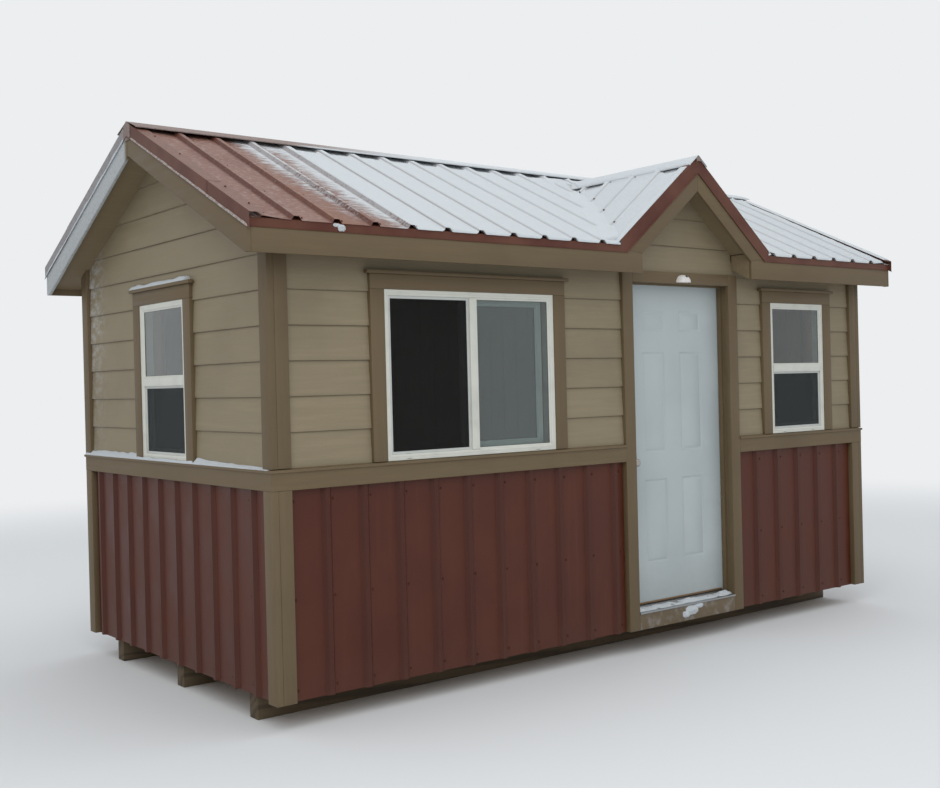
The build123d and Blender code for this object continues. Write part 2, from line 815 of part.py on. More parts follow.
# Rafters in pairs against the ridge board, cut back to the wall under the dormer
with BuildPart() as rafters:
    for x in [fly_x, *rafter_xs, -fly_x - rafter_width]:
        in_notch = x + rafter_width > notch_left and x < notch_right
        slope_board(x, x + rafter_width, core_front if in_notch else tail_y, -ridge_half, -rafter_depth, 0)
        slope_board(x, x + rafter_width, ridge_half, -tail_y, -rafter_depth, 0)
write(rafters, "rafters")

with BuildPart() as ridge_board:
    box(fly_x, -fly_x, -ridge_half, ridge_half, roof_z(0, -rafter_depth), roof_z(ridge_half))
write(ridge_board, "ridge_board")

# Roof deck in sheets, open over the doorway where the dormer's gable stands
with BuildPart() as roof_deck_front:
    slope_board(gable_x, notch_left - sheet_gap, eave_y, -sheet_gap / 2, 0, roof_deck)
    slope_board(notch_left, notch_right, core_front, -sheet_gap / 2, 0, roof_deck)
    slope_board(notch_right + sheet_gap, -gable_x, eave_y, -sheet_gap / 2, 0, roof_deck)
    box(door_middle - mitre_outer, door_middle + mitre_outer, eave_y, tail_y, eave_top, above,
        mode=Mode.SUBTRACT)
write(roof_deck_front, "roof_deck_front")

with BuildPart() as roof_deck_back:
    slope_board(gable_x, -gable_x, sheet_gap / 2, -eave_y, 0, roof_deck)
write(roof_deck_back, "roof_deck_back")

with BuildPart() as soffits:
    low, high = soffit_foot, -rafter_depth
    slope_board(fly_x, notch_left - joint, tail_y, core_front - joint, low, high)
    slope_board(notch_right + joint, -fly_x, tail_y, core_front - joint, low, high)
    slope_board(fly_x, -fly_x, joint - core_front, -tail_y, low, high)
    for x0, x1 in ((fly_x, core_left), (-core_left, -fly_x)):
        slope_board(x0, x1, core_front, -joint / 2, low, high)
        slope_board(x0, x1, joint / 2, -core_front, low, high)
write(soffits, "soffits")


# Eave boards. The front one is cut each side of the door, mitred up into the dormer
with BuildPart() as eave_fascias:
    for side in (-1, 1):
        end = -side * fly_x
        prism(across(eave_y), [
            (end, fascia_foot),
            (door_middle + side * dormer_leg, fascia_foot),
            (door_middle + side * dormer_leg, mitre_inner_z),
            (door_middle + side * mitre_outer, eave_top),
            (end, eave_top),
        ], -fascia_thickness)
    box(fly_x, -fly_x, -tail_y, -eave_y, fascia_foot, eave_top)
write(eave_fascias, "eave_fascias")

# Rake boards on both gables, meeting plumb at the ridge
with BuildPart() as rake_fascias:
    foot_run = (fascia_foot - roof_z(eave_y, -fascia_width)) / roof_slope
    for x in (gable_x, -fly_x):
        prism(Plane.YZ.offset(x), [
            (eave_y, fascia_foot),
            (eave_y + foot_run, fascia_foot),
            (-joint / 2, roof_z(joint / 2, -fascia_width)),
            (-joint / 2, roof_z(joint / 2)),
            (eave_y, eave_top),
        ], fascia_thickness)
    mirror(about=Plane.XZ)
write(rake_fascias, "rake_fascias")

with BuildPart() as dormer_fascias:
    inner = door_middle - dormer_leg
    prism(across(eave_y), [
        (inner, mitre_inner_z),
        (door_middle - joint / 2, dormer_z(door_middle - joint / 2, -fascia_width)),
        (door_middle - joint / 2, dormer_z(door_middle - joint / 2)),
        (door_middle - mitre_outer, eave_top),
    ], -fascia_thickness)
    mirror(about=Plane.YZ.offset(door_middle))
write(dormer_fascias, "dormer_fascias")


def dormer_board(y0, y1, low, high, reach):
    "One side of a layer of the dormer roof, from its ridge out to reach, left of the door's middle."
    x0, x1 = door_middle - reach, door_middle - joint / 2
    prism(across(y0), [(x0, dormer_z(x0, low)), (x1, dormer_z(x1, low)), (x1, dormer_z(x1, high)),
          (x0, dormer_z(x0, high))], y0 - y1)


dormer_reach = mitre_outer + fascia_width       # past the valleys

with BuildPart() as dormer_deck:
    dormer_board(eave_y, 0, 0, roof_deck, dormer_reach)
    split(bisect_by=deck_plane, keep=Keep.TOP)
    mirror(about=Plane.YZ.offset(door_middle))
write(dormer_deck, "dormer_deck")

# Dormer rafters standing on the roof deck, with the gable's soffit and cheeks in front
with BuildPart() as dormer_rafters:
    frame_step = (-core_front - valley_apex - rafter_depth) / (dormer_frames - 1)
    frame_ys = [tail_y, *[core_front + frame_step * number for number in range(dormer_frames)]]
    for y in frame_ys:
        dormer_board(y, y + rafter_width, -rafter_depth, 0, dormer_reach)
    split(bisect_by=deck_plane, keep=Keep.TOP)
    mirror(about=Plane.YZ.offset(door_middle))
write(dormer_rafters, "dormer_rafters")

with BuildPart() as dormer_soffit:
    cheek_x = door_middle - dormer_leg - cheek_thickness
    cheek_back = core_front - lap_butt
    dormer_board(tail_y, core_front - joint, soffit_foot, -rafter_depth, dormer_leg)
    prism(Plane.YZ.offset(cheek_x), [
        (tail_y, fascia_foot),
        (cheek_back, fascia_foot + roof_slope * (cheek_back - tail_y)),
        (cheek_back, dormer_z(cheek_x, -rafter_depth)),
        (tail_y, dormer_z(cheek_x, -rafter_depth)),
    ], cheek_thickness)
    mirror(about=Plane.YZ.offset(door_middle))
write(dormer_soffit, "dormer_soffit")

with BuildPart() as dormer_wall:
    wall_foot = dormer_z(door_middle + dormer_reach, -rafter_depth)
    prism(across(core_front), [
        (door_middle - dormer_reach, wall_foot),
        (door_middle, dormer_z(door_middle, -rafter_depth)),
        (door_middle + dormer_reach, wall_foot),
    ], -rafter_depth)
    split(bisect_by=deck_plane, keep=Keep.TOP)
write(dormer_wall, "dormer_wall")


def slope_plane(sign, layer):
    "Sketch plane square to the main slope at its ridge, x along the building, y out of the roof."
    return Plane(origin=(0, 0, roof_z(0, layer)), x_dir=(sign, 0, 0),
                 z_dir=(0, -sign * cos(pitch), -sin(pitch)))


slope_length = (-eave_y + sheet_overhang) / cos(pitch)


def valley_outline(grow):
    "Plan of the dormer between its valleys, widened by grow, run out past the eave."
    half = valley_foot + grow
    beyond = eave_overhang
    widen = beyond * roof_slope / dormer_slope
    return [
        (door_middle, -valley_apex + grow * dormer_slope / roof_slope),
        (door_middle - half - widen, eave_y - beyond),
        (door_middle + half + widen, eave_y - beyond),
    ]


# Ribbed roof sheets, the front one cut along both valleys
with BuildPart() as roof_metal_front:
    prism(slope_plane(1, sheet_foot), ribbed_outline(gable_x, -gable_x, left + roof_rib_start),
          slope_length)
    prism(Plane.XY, valley_outline(valley_gap), above, mode=Mode.SUBTRACT)
    box(gable_x, -gable_x, -ridge_gap / 2, ridge_gap, 0, above, mode=Mode.SUBTRACT)
write(roof_metal_front, "roof_metal_front")

with BuildPart() as roof_metal_back:
    back_rib = rib_pitch * round((left + roof_rib_start) / rib_pitch) - left - roof_rib_start
    prism(slope_plane(-1, sheet_foot), ribbed_outline(gable_x, -gable_x, back_rib), slope_length)
    box(gable_x, -gable_x, -ridge_gap, ridge_gap / 2, 0, above, mode=Mode.SUBTRACT)
write(roof_metal_back, "roof_metal_back")


def dormer_plane(layer):
    "Sketch plane square to the dormer's left slope at its ridge, x to the front, y out of the roof."
    return Plane(origin=(door_middle, 0, dormer_z(door_middle, layer)), x_dir=(0, -1, 0),
                 z_dir=(-cos(dormer_pitch), 0, -sin(dormer_pitch)))


# The dormer's own ribbed sheets
with BuildPart() as dormer_metal:
    prism(dormer_plane(sheet_foot), ribbed_outline(valley_apex, -eave_y, -eave_y - rib_base / 2 - seat),
          dormer_reach / cos(dormer_pitch))
    prism(Plane.XY, valley_outline(-valley_gap), above, mode=Mode.INTERSECT)
    box(door_middle - ridge_gap / 2, door_middle + dormer_reach, eave_y, -eave_y, 0, above,
        mode=Mode.SUBTRACT)
    mirror(about=Plane.YZ.offset(door_middle))
write(dormer_metal, "dormer_metal")

# Flashing in both valleys, one leg on each roof
with BuildPart() as main_valley_leg:
    slope_board(gable_x, -gable_x, eave_y, -joint, roof_deck, roof_deck + sheet_thickness)
    prism(Plane.XY, valley_outline(valley_leg), above, mode=Mode.INTERSECT)
    prism(Plane.XY, valley_outline(0), above, mode=Mode.SUBTRACT)
with BuildPart() as dormer_valley_leg:
    dormer_board(eave_y, -valley_apex, roof_deck, roof_deck + sheet_thickness, dormer_reach)
    prism(Plane.XY, valley_outline(0), above, mode=Mode.INTERSECT)
    prism(Plane.XY, valley_outline(-valley_leg), above, mode=Mode.SUBTRACT)
    mirror(about=Plane.YZ.offset(door_middle))
with BuildPart() as valley_flashing:
    add(main_valley_leg.part)
    add(dormer_valley_leg.part)
write(valley_flashing, "valley_flashing")

# Where the dormer's rake trim turns into the eave's drip edge
drip_foot = eave_top - drip_drop
turn_inner = (dormer_z(door_middle, -rake_cover) - drip_foot) / dormer_slope
turn_outer = (dormer_z(door_middle, sheet_crest) - roof_z(eave_y, sheet_crest)) / dormer_slope


def turn_plane(side):
    "Plane of the mitre on the left (side -1) or right, its normal towards the eave."
    return Plane(origin=(door_middle + side * turn_inner, 0, drip_foot),
                 z_dir=(side * (roof_z(eave_y, sheet_crest) - drip_foot), 0, turn_inner - turn_outer))


def drip_edge(x0, x1):
    "Angle on the front eave: a flange under the roof sheet and a leg over the eave board."
    prism(Plane.YZ.offset(x0), [
        (eave_y - sheet_thickness, drip_foot),
        (eave_y - sheet_thickness, roof_z(eave_y - sheet_thickness, roof_deck + sheet_thickness)),
        (eave_y + drip_flange, roof_z(eave_y + drip_flange, roof_deck + sheet_thickness)),
        (eave_y + drip_flange, roof_z(eave_y + drip_flange, roof_deck)),
        (eave_y, roof_z(eave_y, roof_deck)),
        (eave_y, drip_foot),
    ], x1 - x0)


with BuildPart() as drip_front_left:
    drip_edge(gable_x, door_middle)
    box(door_middle - valley_foot - valley_leg - drip_flange, door_middle, eave_y, front, drip_foot,
        above, mode=Mode.SUBTRACT)
    split(bisect_by=turn_plane(-1), keep=Keep.TOP)
with BuildPart() as drip_front_right:
    drip_edge(door_middle, -gable_x)
    box(door_middle, door_middle + valley_foot + valley_leg + drip_flange, eave_y, front, drip_foot,
        above, mode=Mode.SUBTRACT)
    split(bisect_by=turn_plane(1), keep=Keep.TOP)
with BuildPart() as drip_back:
    drip_edge(gable_x, -gable_x)
with BuildPart() as drip_edges:
    add(drip_front_left.part)
    add(drip_front_right.part)
    add(mirror(drip_back.part, about=Plane.XZ, mode=Mode.PRIVATE))
write(drip_edges, "drip_edges")


def rake_outline(edge, outward):
    "Cross-section of a rake trim: flange on the ribs, leg over the rake board, lip at its foot."
    foot = -rake_cover
    lip = edge + outward * rake_lip
    skin = edge + outward * sheet_thickness
    return [
        (edge - outward * rake_flange, sheet_crest),
        (edge, sheet_crest),
        (edge, foot),
        (lip, foot - rake_lip / 2),
        (lip, foot - rake_lip / 2 + sheet_thickness),
        (skin, foot + sheet_thickness),
        (skin, sheet_crest + sheet_thickness),
        (edge - outward * rake_flange, sheet_crest + sheet_thickness),
    ]


with BuildPart() as rake_trims:
    run = (-eave_y + sheet_overhang) / cos(pitch) + rib_height
    prism(slope_plane(1, 0), rake_outline(gable_x, -1), run)
    prism(slope_plane(1, 0), rake_outline(-gable_x, 1), run)
    box(2 * gable_x, -2 * gable_x, eave_y - 4 * sheet_overhang, eave_y - sheet_overhang, 0, above,
        mode=Mode.SUBTRACT)
    box(2 * gable_x, -2 * gable_x, 0, -eave_y, 0, above, mode=Mode.SUBTRACT)
    mirror(about=Plane.XZ)
write(rake_trims, "rake_trims")

with BuildPart() as dormer_rake_trims:
    prism(dormer_plane(0), rake_outline(-eave_y, 1), dormer_reach / cos(dormer_pitch))
    box(door_middle, door_middle + dormer_reach, 2 * eave_y, 0, 0, above, mode=Mode.SUBTRACT)
    split(bisect_by=turn_plane(-1), keep=Keep.BOTTOM)
    prism(Plane.XY, valley_outline(-valley_gap), above, mode=Mode.INTERSECT)
    mirror(about=Plane.YZ.offset(door_middle))
write(dormer_rake_trims, "dormer_rake_trims")

cap_layer = sheet_crest + sheet_thickness + seat


def cap_outline(height):
    "Cross-section of a ridge cap. height gives a layer's height at a distance from the ridge."
    legs = (-cap_leg, 0, cap_leg)
    upper = [(reach, height(reach, cap_layer + sheet_thickness)) for reach in legs]
    lower = [(reach, height(reach, cap_layer)) for reach in reversed(legs)]
    return upper + lower


with BuildPart() as ridge_cap:
    prism(Plane.YZ.offset(gable_x - cap_nose), cap_outline(roof_z), -2 * (gable_x - cap_nose))
write(ridge_cap, "ridge_cap")

with BuildPart() as dormer_ridge_cap:
    ridge_end = Plane(origin=(door_middle, eave_y - cap_nose, 0), x_dir=(1, 0, 0), z_dir=(0, -1, 0))
    prism(ridge_end, cap_outline(lambda reach, layer: dormer_z(door_middle + reach, layer)), 2 * eave_y)
    split(bisect_by=deck_plane.offset(sheet_crest - roof_deck + seat), keep=Keep.TOP)
write(dormer_ridge_cap, "dormer_ridge_cap")
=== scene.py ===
import functools
import json
import math
import random

import bmesh
import bpy
from mathutils import Matrix, Vector, noise

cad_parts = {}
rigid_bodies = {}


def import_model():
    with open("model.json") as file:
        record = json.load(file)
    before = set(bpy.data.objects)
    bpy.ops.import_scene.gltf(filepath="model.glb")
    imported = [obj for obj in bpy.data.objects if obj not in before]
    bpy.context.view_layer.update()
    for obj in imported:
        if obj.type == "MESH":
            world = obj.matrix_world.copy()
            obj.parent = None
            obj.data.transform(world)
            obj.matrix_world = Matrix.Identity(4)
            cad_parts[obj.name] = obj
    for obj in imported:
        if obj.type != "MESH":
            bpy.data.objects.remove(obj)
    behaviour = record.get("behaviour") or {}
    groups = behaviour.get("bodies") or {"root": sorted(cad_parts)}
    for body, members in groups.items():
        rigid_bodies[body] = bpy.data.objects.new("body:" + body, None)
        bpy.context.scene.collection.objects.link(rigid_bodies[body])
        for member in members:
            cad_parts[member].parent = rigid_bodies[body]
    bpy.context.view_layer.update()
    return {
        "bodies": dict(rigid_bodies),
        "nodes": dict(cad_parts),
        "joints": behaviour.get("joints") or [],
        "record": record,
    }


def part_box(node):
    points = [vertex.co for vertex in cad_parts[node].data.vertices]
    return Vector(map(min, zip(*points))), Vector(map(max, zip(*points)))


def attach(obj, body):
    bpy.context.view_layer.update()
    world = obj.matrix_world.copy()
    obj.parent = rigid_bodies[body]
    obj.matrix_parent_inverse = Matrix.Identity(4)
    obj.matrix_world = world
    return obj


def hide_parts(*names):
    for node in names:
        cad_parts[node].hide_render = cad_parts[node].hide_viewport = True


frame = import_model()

nodes = frame["nodes"]

# Places read from the frame, in metres
cornerLow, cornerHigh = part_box("corner_boards")
frontFace, backFace = cornerLow.y, cornerHigh.y
leftFace, rightFace = cornerLow.x, cornerHigh.x
wallFoot = cornerLow.z
beltLow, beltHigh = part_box("belt_trim")
beltTop = beltHigh.z
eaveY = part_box("eave_fascias")[0].y
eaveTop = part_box("eave_fascias")[1].z
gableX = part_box("rake_fascias")[0].x
slabLow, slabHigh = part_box("door_slab")
sillLow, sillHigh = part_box("door_sill")
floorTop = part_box("floor_deck")[1].z
doorMiddle = (slabLow.x + slabHigh.x) / 2

# Sizes shared by many pieces, in metres. sheetFoot, capTop and soffitFoot are heights square to the slope
roofSlope = 0.5
dormerSlope = 9.75 / 12
roofSpread = math.sqrt(1 + roofSlope ** 2)
dormerSpread = math.sqrt(1 + dormerSlope ** 2)
dormerReach = 0.7114
dormerTop = eaveTop + dormerSlope * dormerReach
sheetFoot = 0.0133
capTop = 0.0356
valleyApex = 0.2304
valleyRun = roofSlope / dormerSlope
soffitFoot = -0.097
lapExposure = 0.1778
ribPitch = 0.2286
boardWidth = 0.089
boardThickness = 0.038
jambThickness = 0.019
ribFirst = leftFace + 0.088
dormerRibFirst = eaveY + 0.0303
wallRibFirst = leftFace + 0.328
gableRibFirst = frontFace + 0.261


def roofZ(y, layer=0.0):
    return eaveTop + roofSlope * (-eaveY - abs(y)) + layer * roofSpread


def dormerZ(x, layer=0.0):
    return dormerTop - dormerSlope * abs(x - doorMiddle) + layer * dormerSpread


def clamp(value):
    return max(0.0, min(1.0, value))


# Short forms for the node trees

def srgb(red, green, blue):
    def linear(value):
        value /= 255
        return value / 12.92 if value <= 0.04045 else ((value + 0.055) / 1.055) ** 2.4
    return (linear(red), linear(green), linear(blue), 1)


def startMaterial(name, roughness, metallic=0.0):
    material = bpy.data.materials.new(name)
    material.use_nodes = True
    shader = material.node_tree.nodes["Principled BSDF"]
    shader.inputs["Roughness"].default_value = roughness
    shader.inputs["Metallic"].default_value = metallic
    return material, material.node_tree, shader


def addNode(tree, kind, inputs, **settings):
    made = tree.nodes.new(kind)
    for key, value in settings.items():
        setattr(made, key, value)
    for key, value in inputs.items():
        if isinstance(value, bpy.types.NodeSocket):
            tree.links.new(value, made.inputs[key])
        else:
            made.inputs[key].default_value = value
    return made


def objectPoint(tree):
    return addNode(tree, "ShaderNodeTexCoord", {}).outputs["Object"]


def pointPart(tree, axis):
    return addNode(tree, "ShaderNodeSeparateXYZ", {0: objectPoint(tree)}).outputs[axis]


def sums(tree, operation, first, second=0.0):
    return addNode(tree, "ShaderNodeMath", {0: first, 1: second}, operation=operation).outputs[0]


def times(tree, *values):
    return functools.reduce(lambda one, two: sums(tree, "MULTIPLY", one, two), values)


def most(tree, *values):
    return functools.reduce(lambda one, two: sums(tree, "MAXIMUM", one, two), values)


def fromMiddle(tree, value):
    return sums(tree, "ABSOLUTE", sums(tree, "SUBTRACT", sums(tree, "FRACT", value), 0.5))


def chanceOf(tree, number):
    return addNode(tree, "ShaderNodeTexWhiteNoise", {"W": number}, noise_dimensions="1D").outputs["Value"]


def fade(tree, value, low, high, start=0.0, end=1.0):
    made = addNode(tree, "ShaderNodeMapRange", {0: value, 1: low, 2: high, 3: start, 4: end},
                   interpolation_type="SMOOTHSTEP")
    return made.outputs[0]


def grain(tree, scale, detail=3.0, stretch=(1, 1, 1), roughness=0.55):
    spot = addNode(tree, "ShaderNodeMapping", {"Vector": objectPoint(tree), "Scale": stretch})
    made = addNode(tree, "ShaderNodeTexNoise",
                   {"Vector": spot.outputs[0], "Scale": scale, "Detail": detail, "Roughness": roughness})
    return made.outputs[0]


def blendColor(tree, factor, first, second):
    return addNode(tree, "ShaderNodeMix", {0: factor, 6: first, 7: second}, data_type="RGBA").outputs[2]


def darker(color, share):
    return tuple(channel * share for channel in color[:3]) + (1,)


def addBump(tree, shader, height, distance, strength=1.0):
    made = addNode(tree, "ShaderNodeBump", {"Height": height, "Distance": distance, "Strength": strength})
    tree.links.new(made.outputs[0], shader.inputs["Normal"])


def setColor(tree, shader, color):
    tree.links.new(color, shader.inputs["Base Color"])


def setRoughness(tree, shader, value):
    tree.links.new(value, shader.inputs["Roughness"])


snowColor = srgb(196, 200, 203)
frostColor = srgb(150, 138, 130)
alongAxis = {"X": (0.06, 1, 1), "Y": (1, 0.06, 1), "Z": (1, 1, 0.06)}


# Painted wood: embossed grain, a soft mottle and paler worn streaks
def paintedWood(name, axis, color, worn, depth=0.0005, roughness=0.62):
    material, tree, shader = startMaterial(name, roughness)
    fine = grain(tree, 260, 4, alongAxis[axis])
    broad = grain(tree, 2.2, 4)
    streaks = grain(tree, 45, 3, alongAxis[axis])
    paint = blendColor(tree, fade(tree, streaks, 0.35, 0.75), color, worn)
    dark = darker(color, 0.8)
    paint = blendColor(tree, fade(tree, broad, 0.42, 0.78, 0, 0.55), paint, dark)
    shade = addNode(tree, "ShaderNodeAttribute", {}, attribute_name="boardShade").outputs["Fac"]
    paint = blendColor(tree, times(tree, shade, 0.35), paint, dark)
    setColor(tree, shader, paint)
    setRoughness(tree, shader, fade(tree, streaks, 0.2, 0.8, roughness - 0.08, roughness + 0.1))
    addBump(tree, shader, fine, depth)
    return material, tree, shader, paint


trimPaints = {
    "color": srgb(101, 84, 58),
    "worn": srgb(109, 92, 66),
}
trimPaint = {axis: paintedWood("trimPaint" + axis, axis, **trimPaints)[0] for axis in "XYZ"}

# Lap siding: each course a tone of its own, with a painted shade band under the board above
sidingPaints = {
    "color": srgb(136, 123, 98),
    "worn": srgb(144, 131, 106),
}


def lapSiding(name, axis):
    material, tree, shader, paint = paintedWood(name, axis, depth=0.0009, **sidingPaints)
    rise = sums(tree, "DIVIDE", sums(tree, "SUBTRACT", pointPart(tree, "Z"), beltTop), lapExposure)
    shade = chanceOf(tree, sums(tree, "FLOOR", rise))
    paint = blendColor(tree, fade(tree, shade, 0, 1, 0, 0.16), paint, srgb(126, 113, 92))
    phase = sums(tree, "FRACT", rise)
    # Painted shade: a dark band at the top of each course, under the butt of the board above
    shadow = fade(tree, phase, 0.945, 0.995, 0, 0.4)
    paint = blendColor(tree, shadow, paint, srgb(70, 60, 47))
    dirt = times(tree, fade(tree, phase, 0.0, 0.10, 0.5, 0), grain(tree, 14, 3))
    paint = blendColor(tree, dirt, paint, srgb(112, 99, 80))
    # Powder blown onto the left wall beside the back corner
    back = times(tree, fade(tree, pointPart(tree, "Y"), 0.82, 1.16),
                 fade(tree, pointPart(tree, "X"), leftFace + 0.1, leftFace + 0.2, 1, 0),
                 fade(tree, pointPart(tree, "Z"), beltTop + 0.2, beltTop + 0.95, 0.3, 1))
    powder = fade(tree, grain(tree, 22, 6, (1, 0.6, 1), 0.7), 0.40, 0.66, 0, 0.55)
    paint = blendColor(tree, times(tree, back, powder), paint, snowColor)
    setColor(tree, shader, paint)
    return material


sidingX, sidingY = lapSiding("sidingPaintX", "X"), lapSiding("sidingPaintY", "Y")

# Ribbed wall sheet: satin paint, chalky in patches, with painted shade beside the ribs
wallMetalLook = {"color": srgb(78, 32, 17), "chalk": srgb(92, 50, 32), "dark": srgb(54, 22, 13)}


def wallMetal(name, axis, firstRib):
    material, tree, shader = startMaterial(name, 0.48)
    shader.inputs["Specular IOR Level"].default_value = 0.32
    patches = grain(tree, 3.1, 5)
    runs = grain(tree, 30, 3, (1, 1, 0.05))
    paint = blendColor(tree, fade(tree, patches, 0.35, 0.75, 0, 0.55), wallMetalLook["color"],
                       wallMetalLook["chalk"])
    paint = blendColor(tree, fade(tree, runs, 0.5, 0.8, 0, 0.35), paint, wallMetalLook["chalk"])
    across = sums(tree, "DIVIDE", sums(tree, "SUBTRACT", pointPart(tree, axis), firstRib), ribPitch)
    # Painted shade: a dark band along each rib, where the rib's flank falls in shade
    paintedRibShade = fade(tree, fromMiddle(tree, across), 0.33, 0.40, 0, 0.35)
    paint = blendColor(tree, paintedRibShade, paint, wallMetalLook["dark"])
    foot = fade(tree, pointPart(tree, "Z"), wallFoot, wallFoot + 0.25, 0.45, 0)
    paint = blendColor(tree, times(tree, foot, grain(tree, 18, 4)), paint, srgb(88, 56, 42))
    setColor(tree, shader, paint)
    setRoughness(tree, shader, fade(tree, patches, 0.3, 0.8, 0.42, 0.62))
    addBump(tree, shader, grain(tree, 7, 2), 0.0012, 0.5)
    return material


wallMetalX = wallMetal("wallMetalX", "X", wallRibFirst)
wallMetalY = wallMetal("wallMetalY", "Y", gableRibFirst)

# Roof sheets: frosted red paint, darker on the ribs' steep sides and on the pan left of each rib, partly
# barer paint and partly painted shade, and powder snow blown in streaks.
# The snow starts two bays in from the left and thickens to the right
roofLook = {
    "color": srgb(104, 58, 44),
    "chalk": srgb(128, 95, 82),
    "steep": srgb(84, 44, 33),
    "rust": srgb(122, 78, 52),
}


def roofMetal(name, axis, firstRib, bareLeft):
    material, tree, shader = startMaterial(name, 0.55)
    shader.inputs["Specular IOR Level"].default_value = 0.3
    patches = grain(tree, 2.6, 5)
    paint = blendColor(tree, fade(tree, patches, 0.3, 0.7, 0.25, 0.9), roofLook["color"], roofLook["chalk"])
    fine = fade(tree, grain(tree, 80, 4, (0.4, 1, 1)), 0.45, 0.8, 0, 0.45)
    paint = blendColor(tree, fine, paint, srgb(186, 172, 164))
    bays = sums(tree, "DIVIDE", sums(tree, "SUBTRACT", pointPart(tree, axis), firstRib), ribPitch)
    past = sums(tree, "SUBTRACT", bays, sums(tree, "ROUND", bays))
    apart = sums(tree, "ABSOLUTE", past)
    # Painted shade: the steep sides, where the paint is also barer, and the pan just left of each rib take
    # the darker steep colour
    steep = times(tree, fade(tree, apart, 0.046, 0.064), fade(tree, apart, 0.120, 0.150, 1, 0))
    beside = times(tree, fade(tree, past, -0.23, -0.12), fade(tree, past, -0.064, -0.046, 1, 0))
    paint = blendColor(tree, times(tree, most(tree, steep, beside), 0.75), paint,
                       roofLook["steep"])
    streaks = fade(tree, grain(tree, 60, 5, (0.2, 1, 1), 0.7), 0.25, 0.75, -0.5, 0.5)
    if bareLeft:
        down = sums(tree, "DIVIDE", sums(tree, "ABSOLUTE", pointPart(tree, "Y")), -eaveY)
        # Rust low in the second bay
        rust = times(tree, fade(tree, bays, 0.75, 1.15), fade(tree, bays, 1.2, 2.0, 1, 0),
                     fade(tree, down, 0.2, 0.7), fade(tree, grain(tree, 12, 4), 0.3, 0.7, 0, 0.8))
        paint = blendColor(tree, rust, paint, roofLook["rust"])
        # Snow: streaks in the second bay, half the third, then all, thinner at the eave
        second = times(tree, fade(tree, bays, 1.15, 1.95), fade(tree, down, 0.10, 0.95, 1.05, 0.42),
                       fade(tree, bays, 2.0, 2.04, 1, 0))
        pastSecond = fade(tree, bays, 2.0, 2.05)
        third = times(tree, pastSecond, fade(tree, bays, 2.25, 2.85, 0.42, 1.0))
        high = times(tree, pastSecond, fade(tree, down, 0.08, 0.32, 0.9, 0))
        cover = most(tree, second, third, high, fade(tree, bays, 2.95, 3.02, 0, 1.5))
        thin = times(tree, fade(tree, down, 0.84, 1.0, 0, 0.4), fade(tree, bays, 3.2, 4.3, 1, 0))
        cover = sums(tree, "ADD", sums(tree, "SUBTRACT", cover, thin), streaks)
        side = times(tree, steep, fade(tree, bays, 3.0, 9.0, 0.42, 0.16))
    else:
        cover = sums(tree, "ADD", streaks, 1.5)
        side = times(tree, steep, 0.16)
    mask = times(tree, fade(tree, cover, 0.15, 1.0), sums(tree, "SUBTRACT", 1.0, side))
    paint = blendColor(tree, mask, paint, snowColor)
    setColor(tree, shader, paint)
    setRoughness(tree, shader, fade(tree, mask, 0, 1, 0.55, 0.95))
    addBump(tree, shader, sums(tree, "ADD", mask, times(tree, grain(tree, 60, 4), 0.3)), 0.0015)
    return material


roofMetalMain = roofMetal("roofMetalMain", "X", ribFirst, True)
roofMetalDormer = roofMetal("roofMetalDormer", "Y", dormerRibFirst, False)


# Bent flashings and trims in the same paint, less weathered. The ridge caps and the left rake's back
# half hold frost
def flashing(name):
    material, tree, shader = startMaterial(name, 0.5)
    shader.inputs["Specular IOR Level"].default_value = 0.3
    mottle = fade(tree, grain(tree, 4.0, 5), 0.3, 0.7, 0, 0.7)
    paint = blendColor(tree, mottle, srgb(82, 40, 28), srgb(104, 66, 50))
    paint = blendColor(tree, fade(tree, grain(tree, 120, 3), 0.6, 0.8, 0, 0.2), paint, frostColor)
    addBump(tree, shader, grain(tree, 9, 2), 0.001, 0.5)
    return material, tree, shader, paint


redTrim, redTrimTree, redTrimShader, redTrimPaint = flashing("redTrim")
setColor(redTrimTree, redTrimShader, redTrimPaint)


def frostedCap(name, whiteFrom, whiteTo):
    material, tree, shader, paint = flashing(name)
    frost = fade(tree, grain(tree, 60, 4), 0.25, 0.7, 0.45, 0.85)
    paint = blendColor(tree, frost, paint, srgb(152, 140, 135))
    along = pointPart(tree, "X")
    edge = fade(tree, sums(tree, "ABSOLUTE", pointPart(tree, "Y")), 0.095, 0.118)
    edge = times(tree, edge, fade(tree, along, whiteFrom, whiteFrom + 0.2))
    white = most(tree, edge, fade(tree, along, whiteFrom, whiteTo))
    setColor(tree, shader, blendColor(tree, white, paint, snowColor))
    setRoughness(tree, shader, fade(tree, frost, 0, 1, 0.5, 0.9))
    return material


ridgeMetal = frostedCap("ridgeMetal", -1.7, -0.6)
foldMetal = frostedCap("foldMetal", 1.5, 1.6)
dormerRidgeMetal = frostedCap("dormerRidgeMetal", -1.4, -0.6)


def leftEndOnly(tree):
    return fade(tree, pointPart(tree, "X"), gableX + 0.3, gableX + 0.5, 1, 0)


def rakeMetalFinish(name):
    material, tree, shader, paint = flashing(name)
    leftEnd = leftEndOnly(tree)
    frost = times(tree, fade(tree, pointPart(tree, "Y"), -0.03, 0.03), leftEnd,
                  fade(tree, grain(tree, 45, 4), 0.25, 0.6, 0.6, 1.0))
    flange = times(tree, fade(tree, pointPart(tree, "X"), gableX + 0.0015, gableX + 0.004, 0, 0.75), leftEnd,
                   fade(tree, grain(tree, 60, 4), 0.3, 0.7, 0.4, 1))
    paint = blendColor(tree, flange, paint, roofLook["chalk"])
    setColor(tree, shader, blendColor(tree, frost, paint, srgb(142, 140, 142)))
    return material


rakeMetal = rakeMetalFinish("rakeMetal")


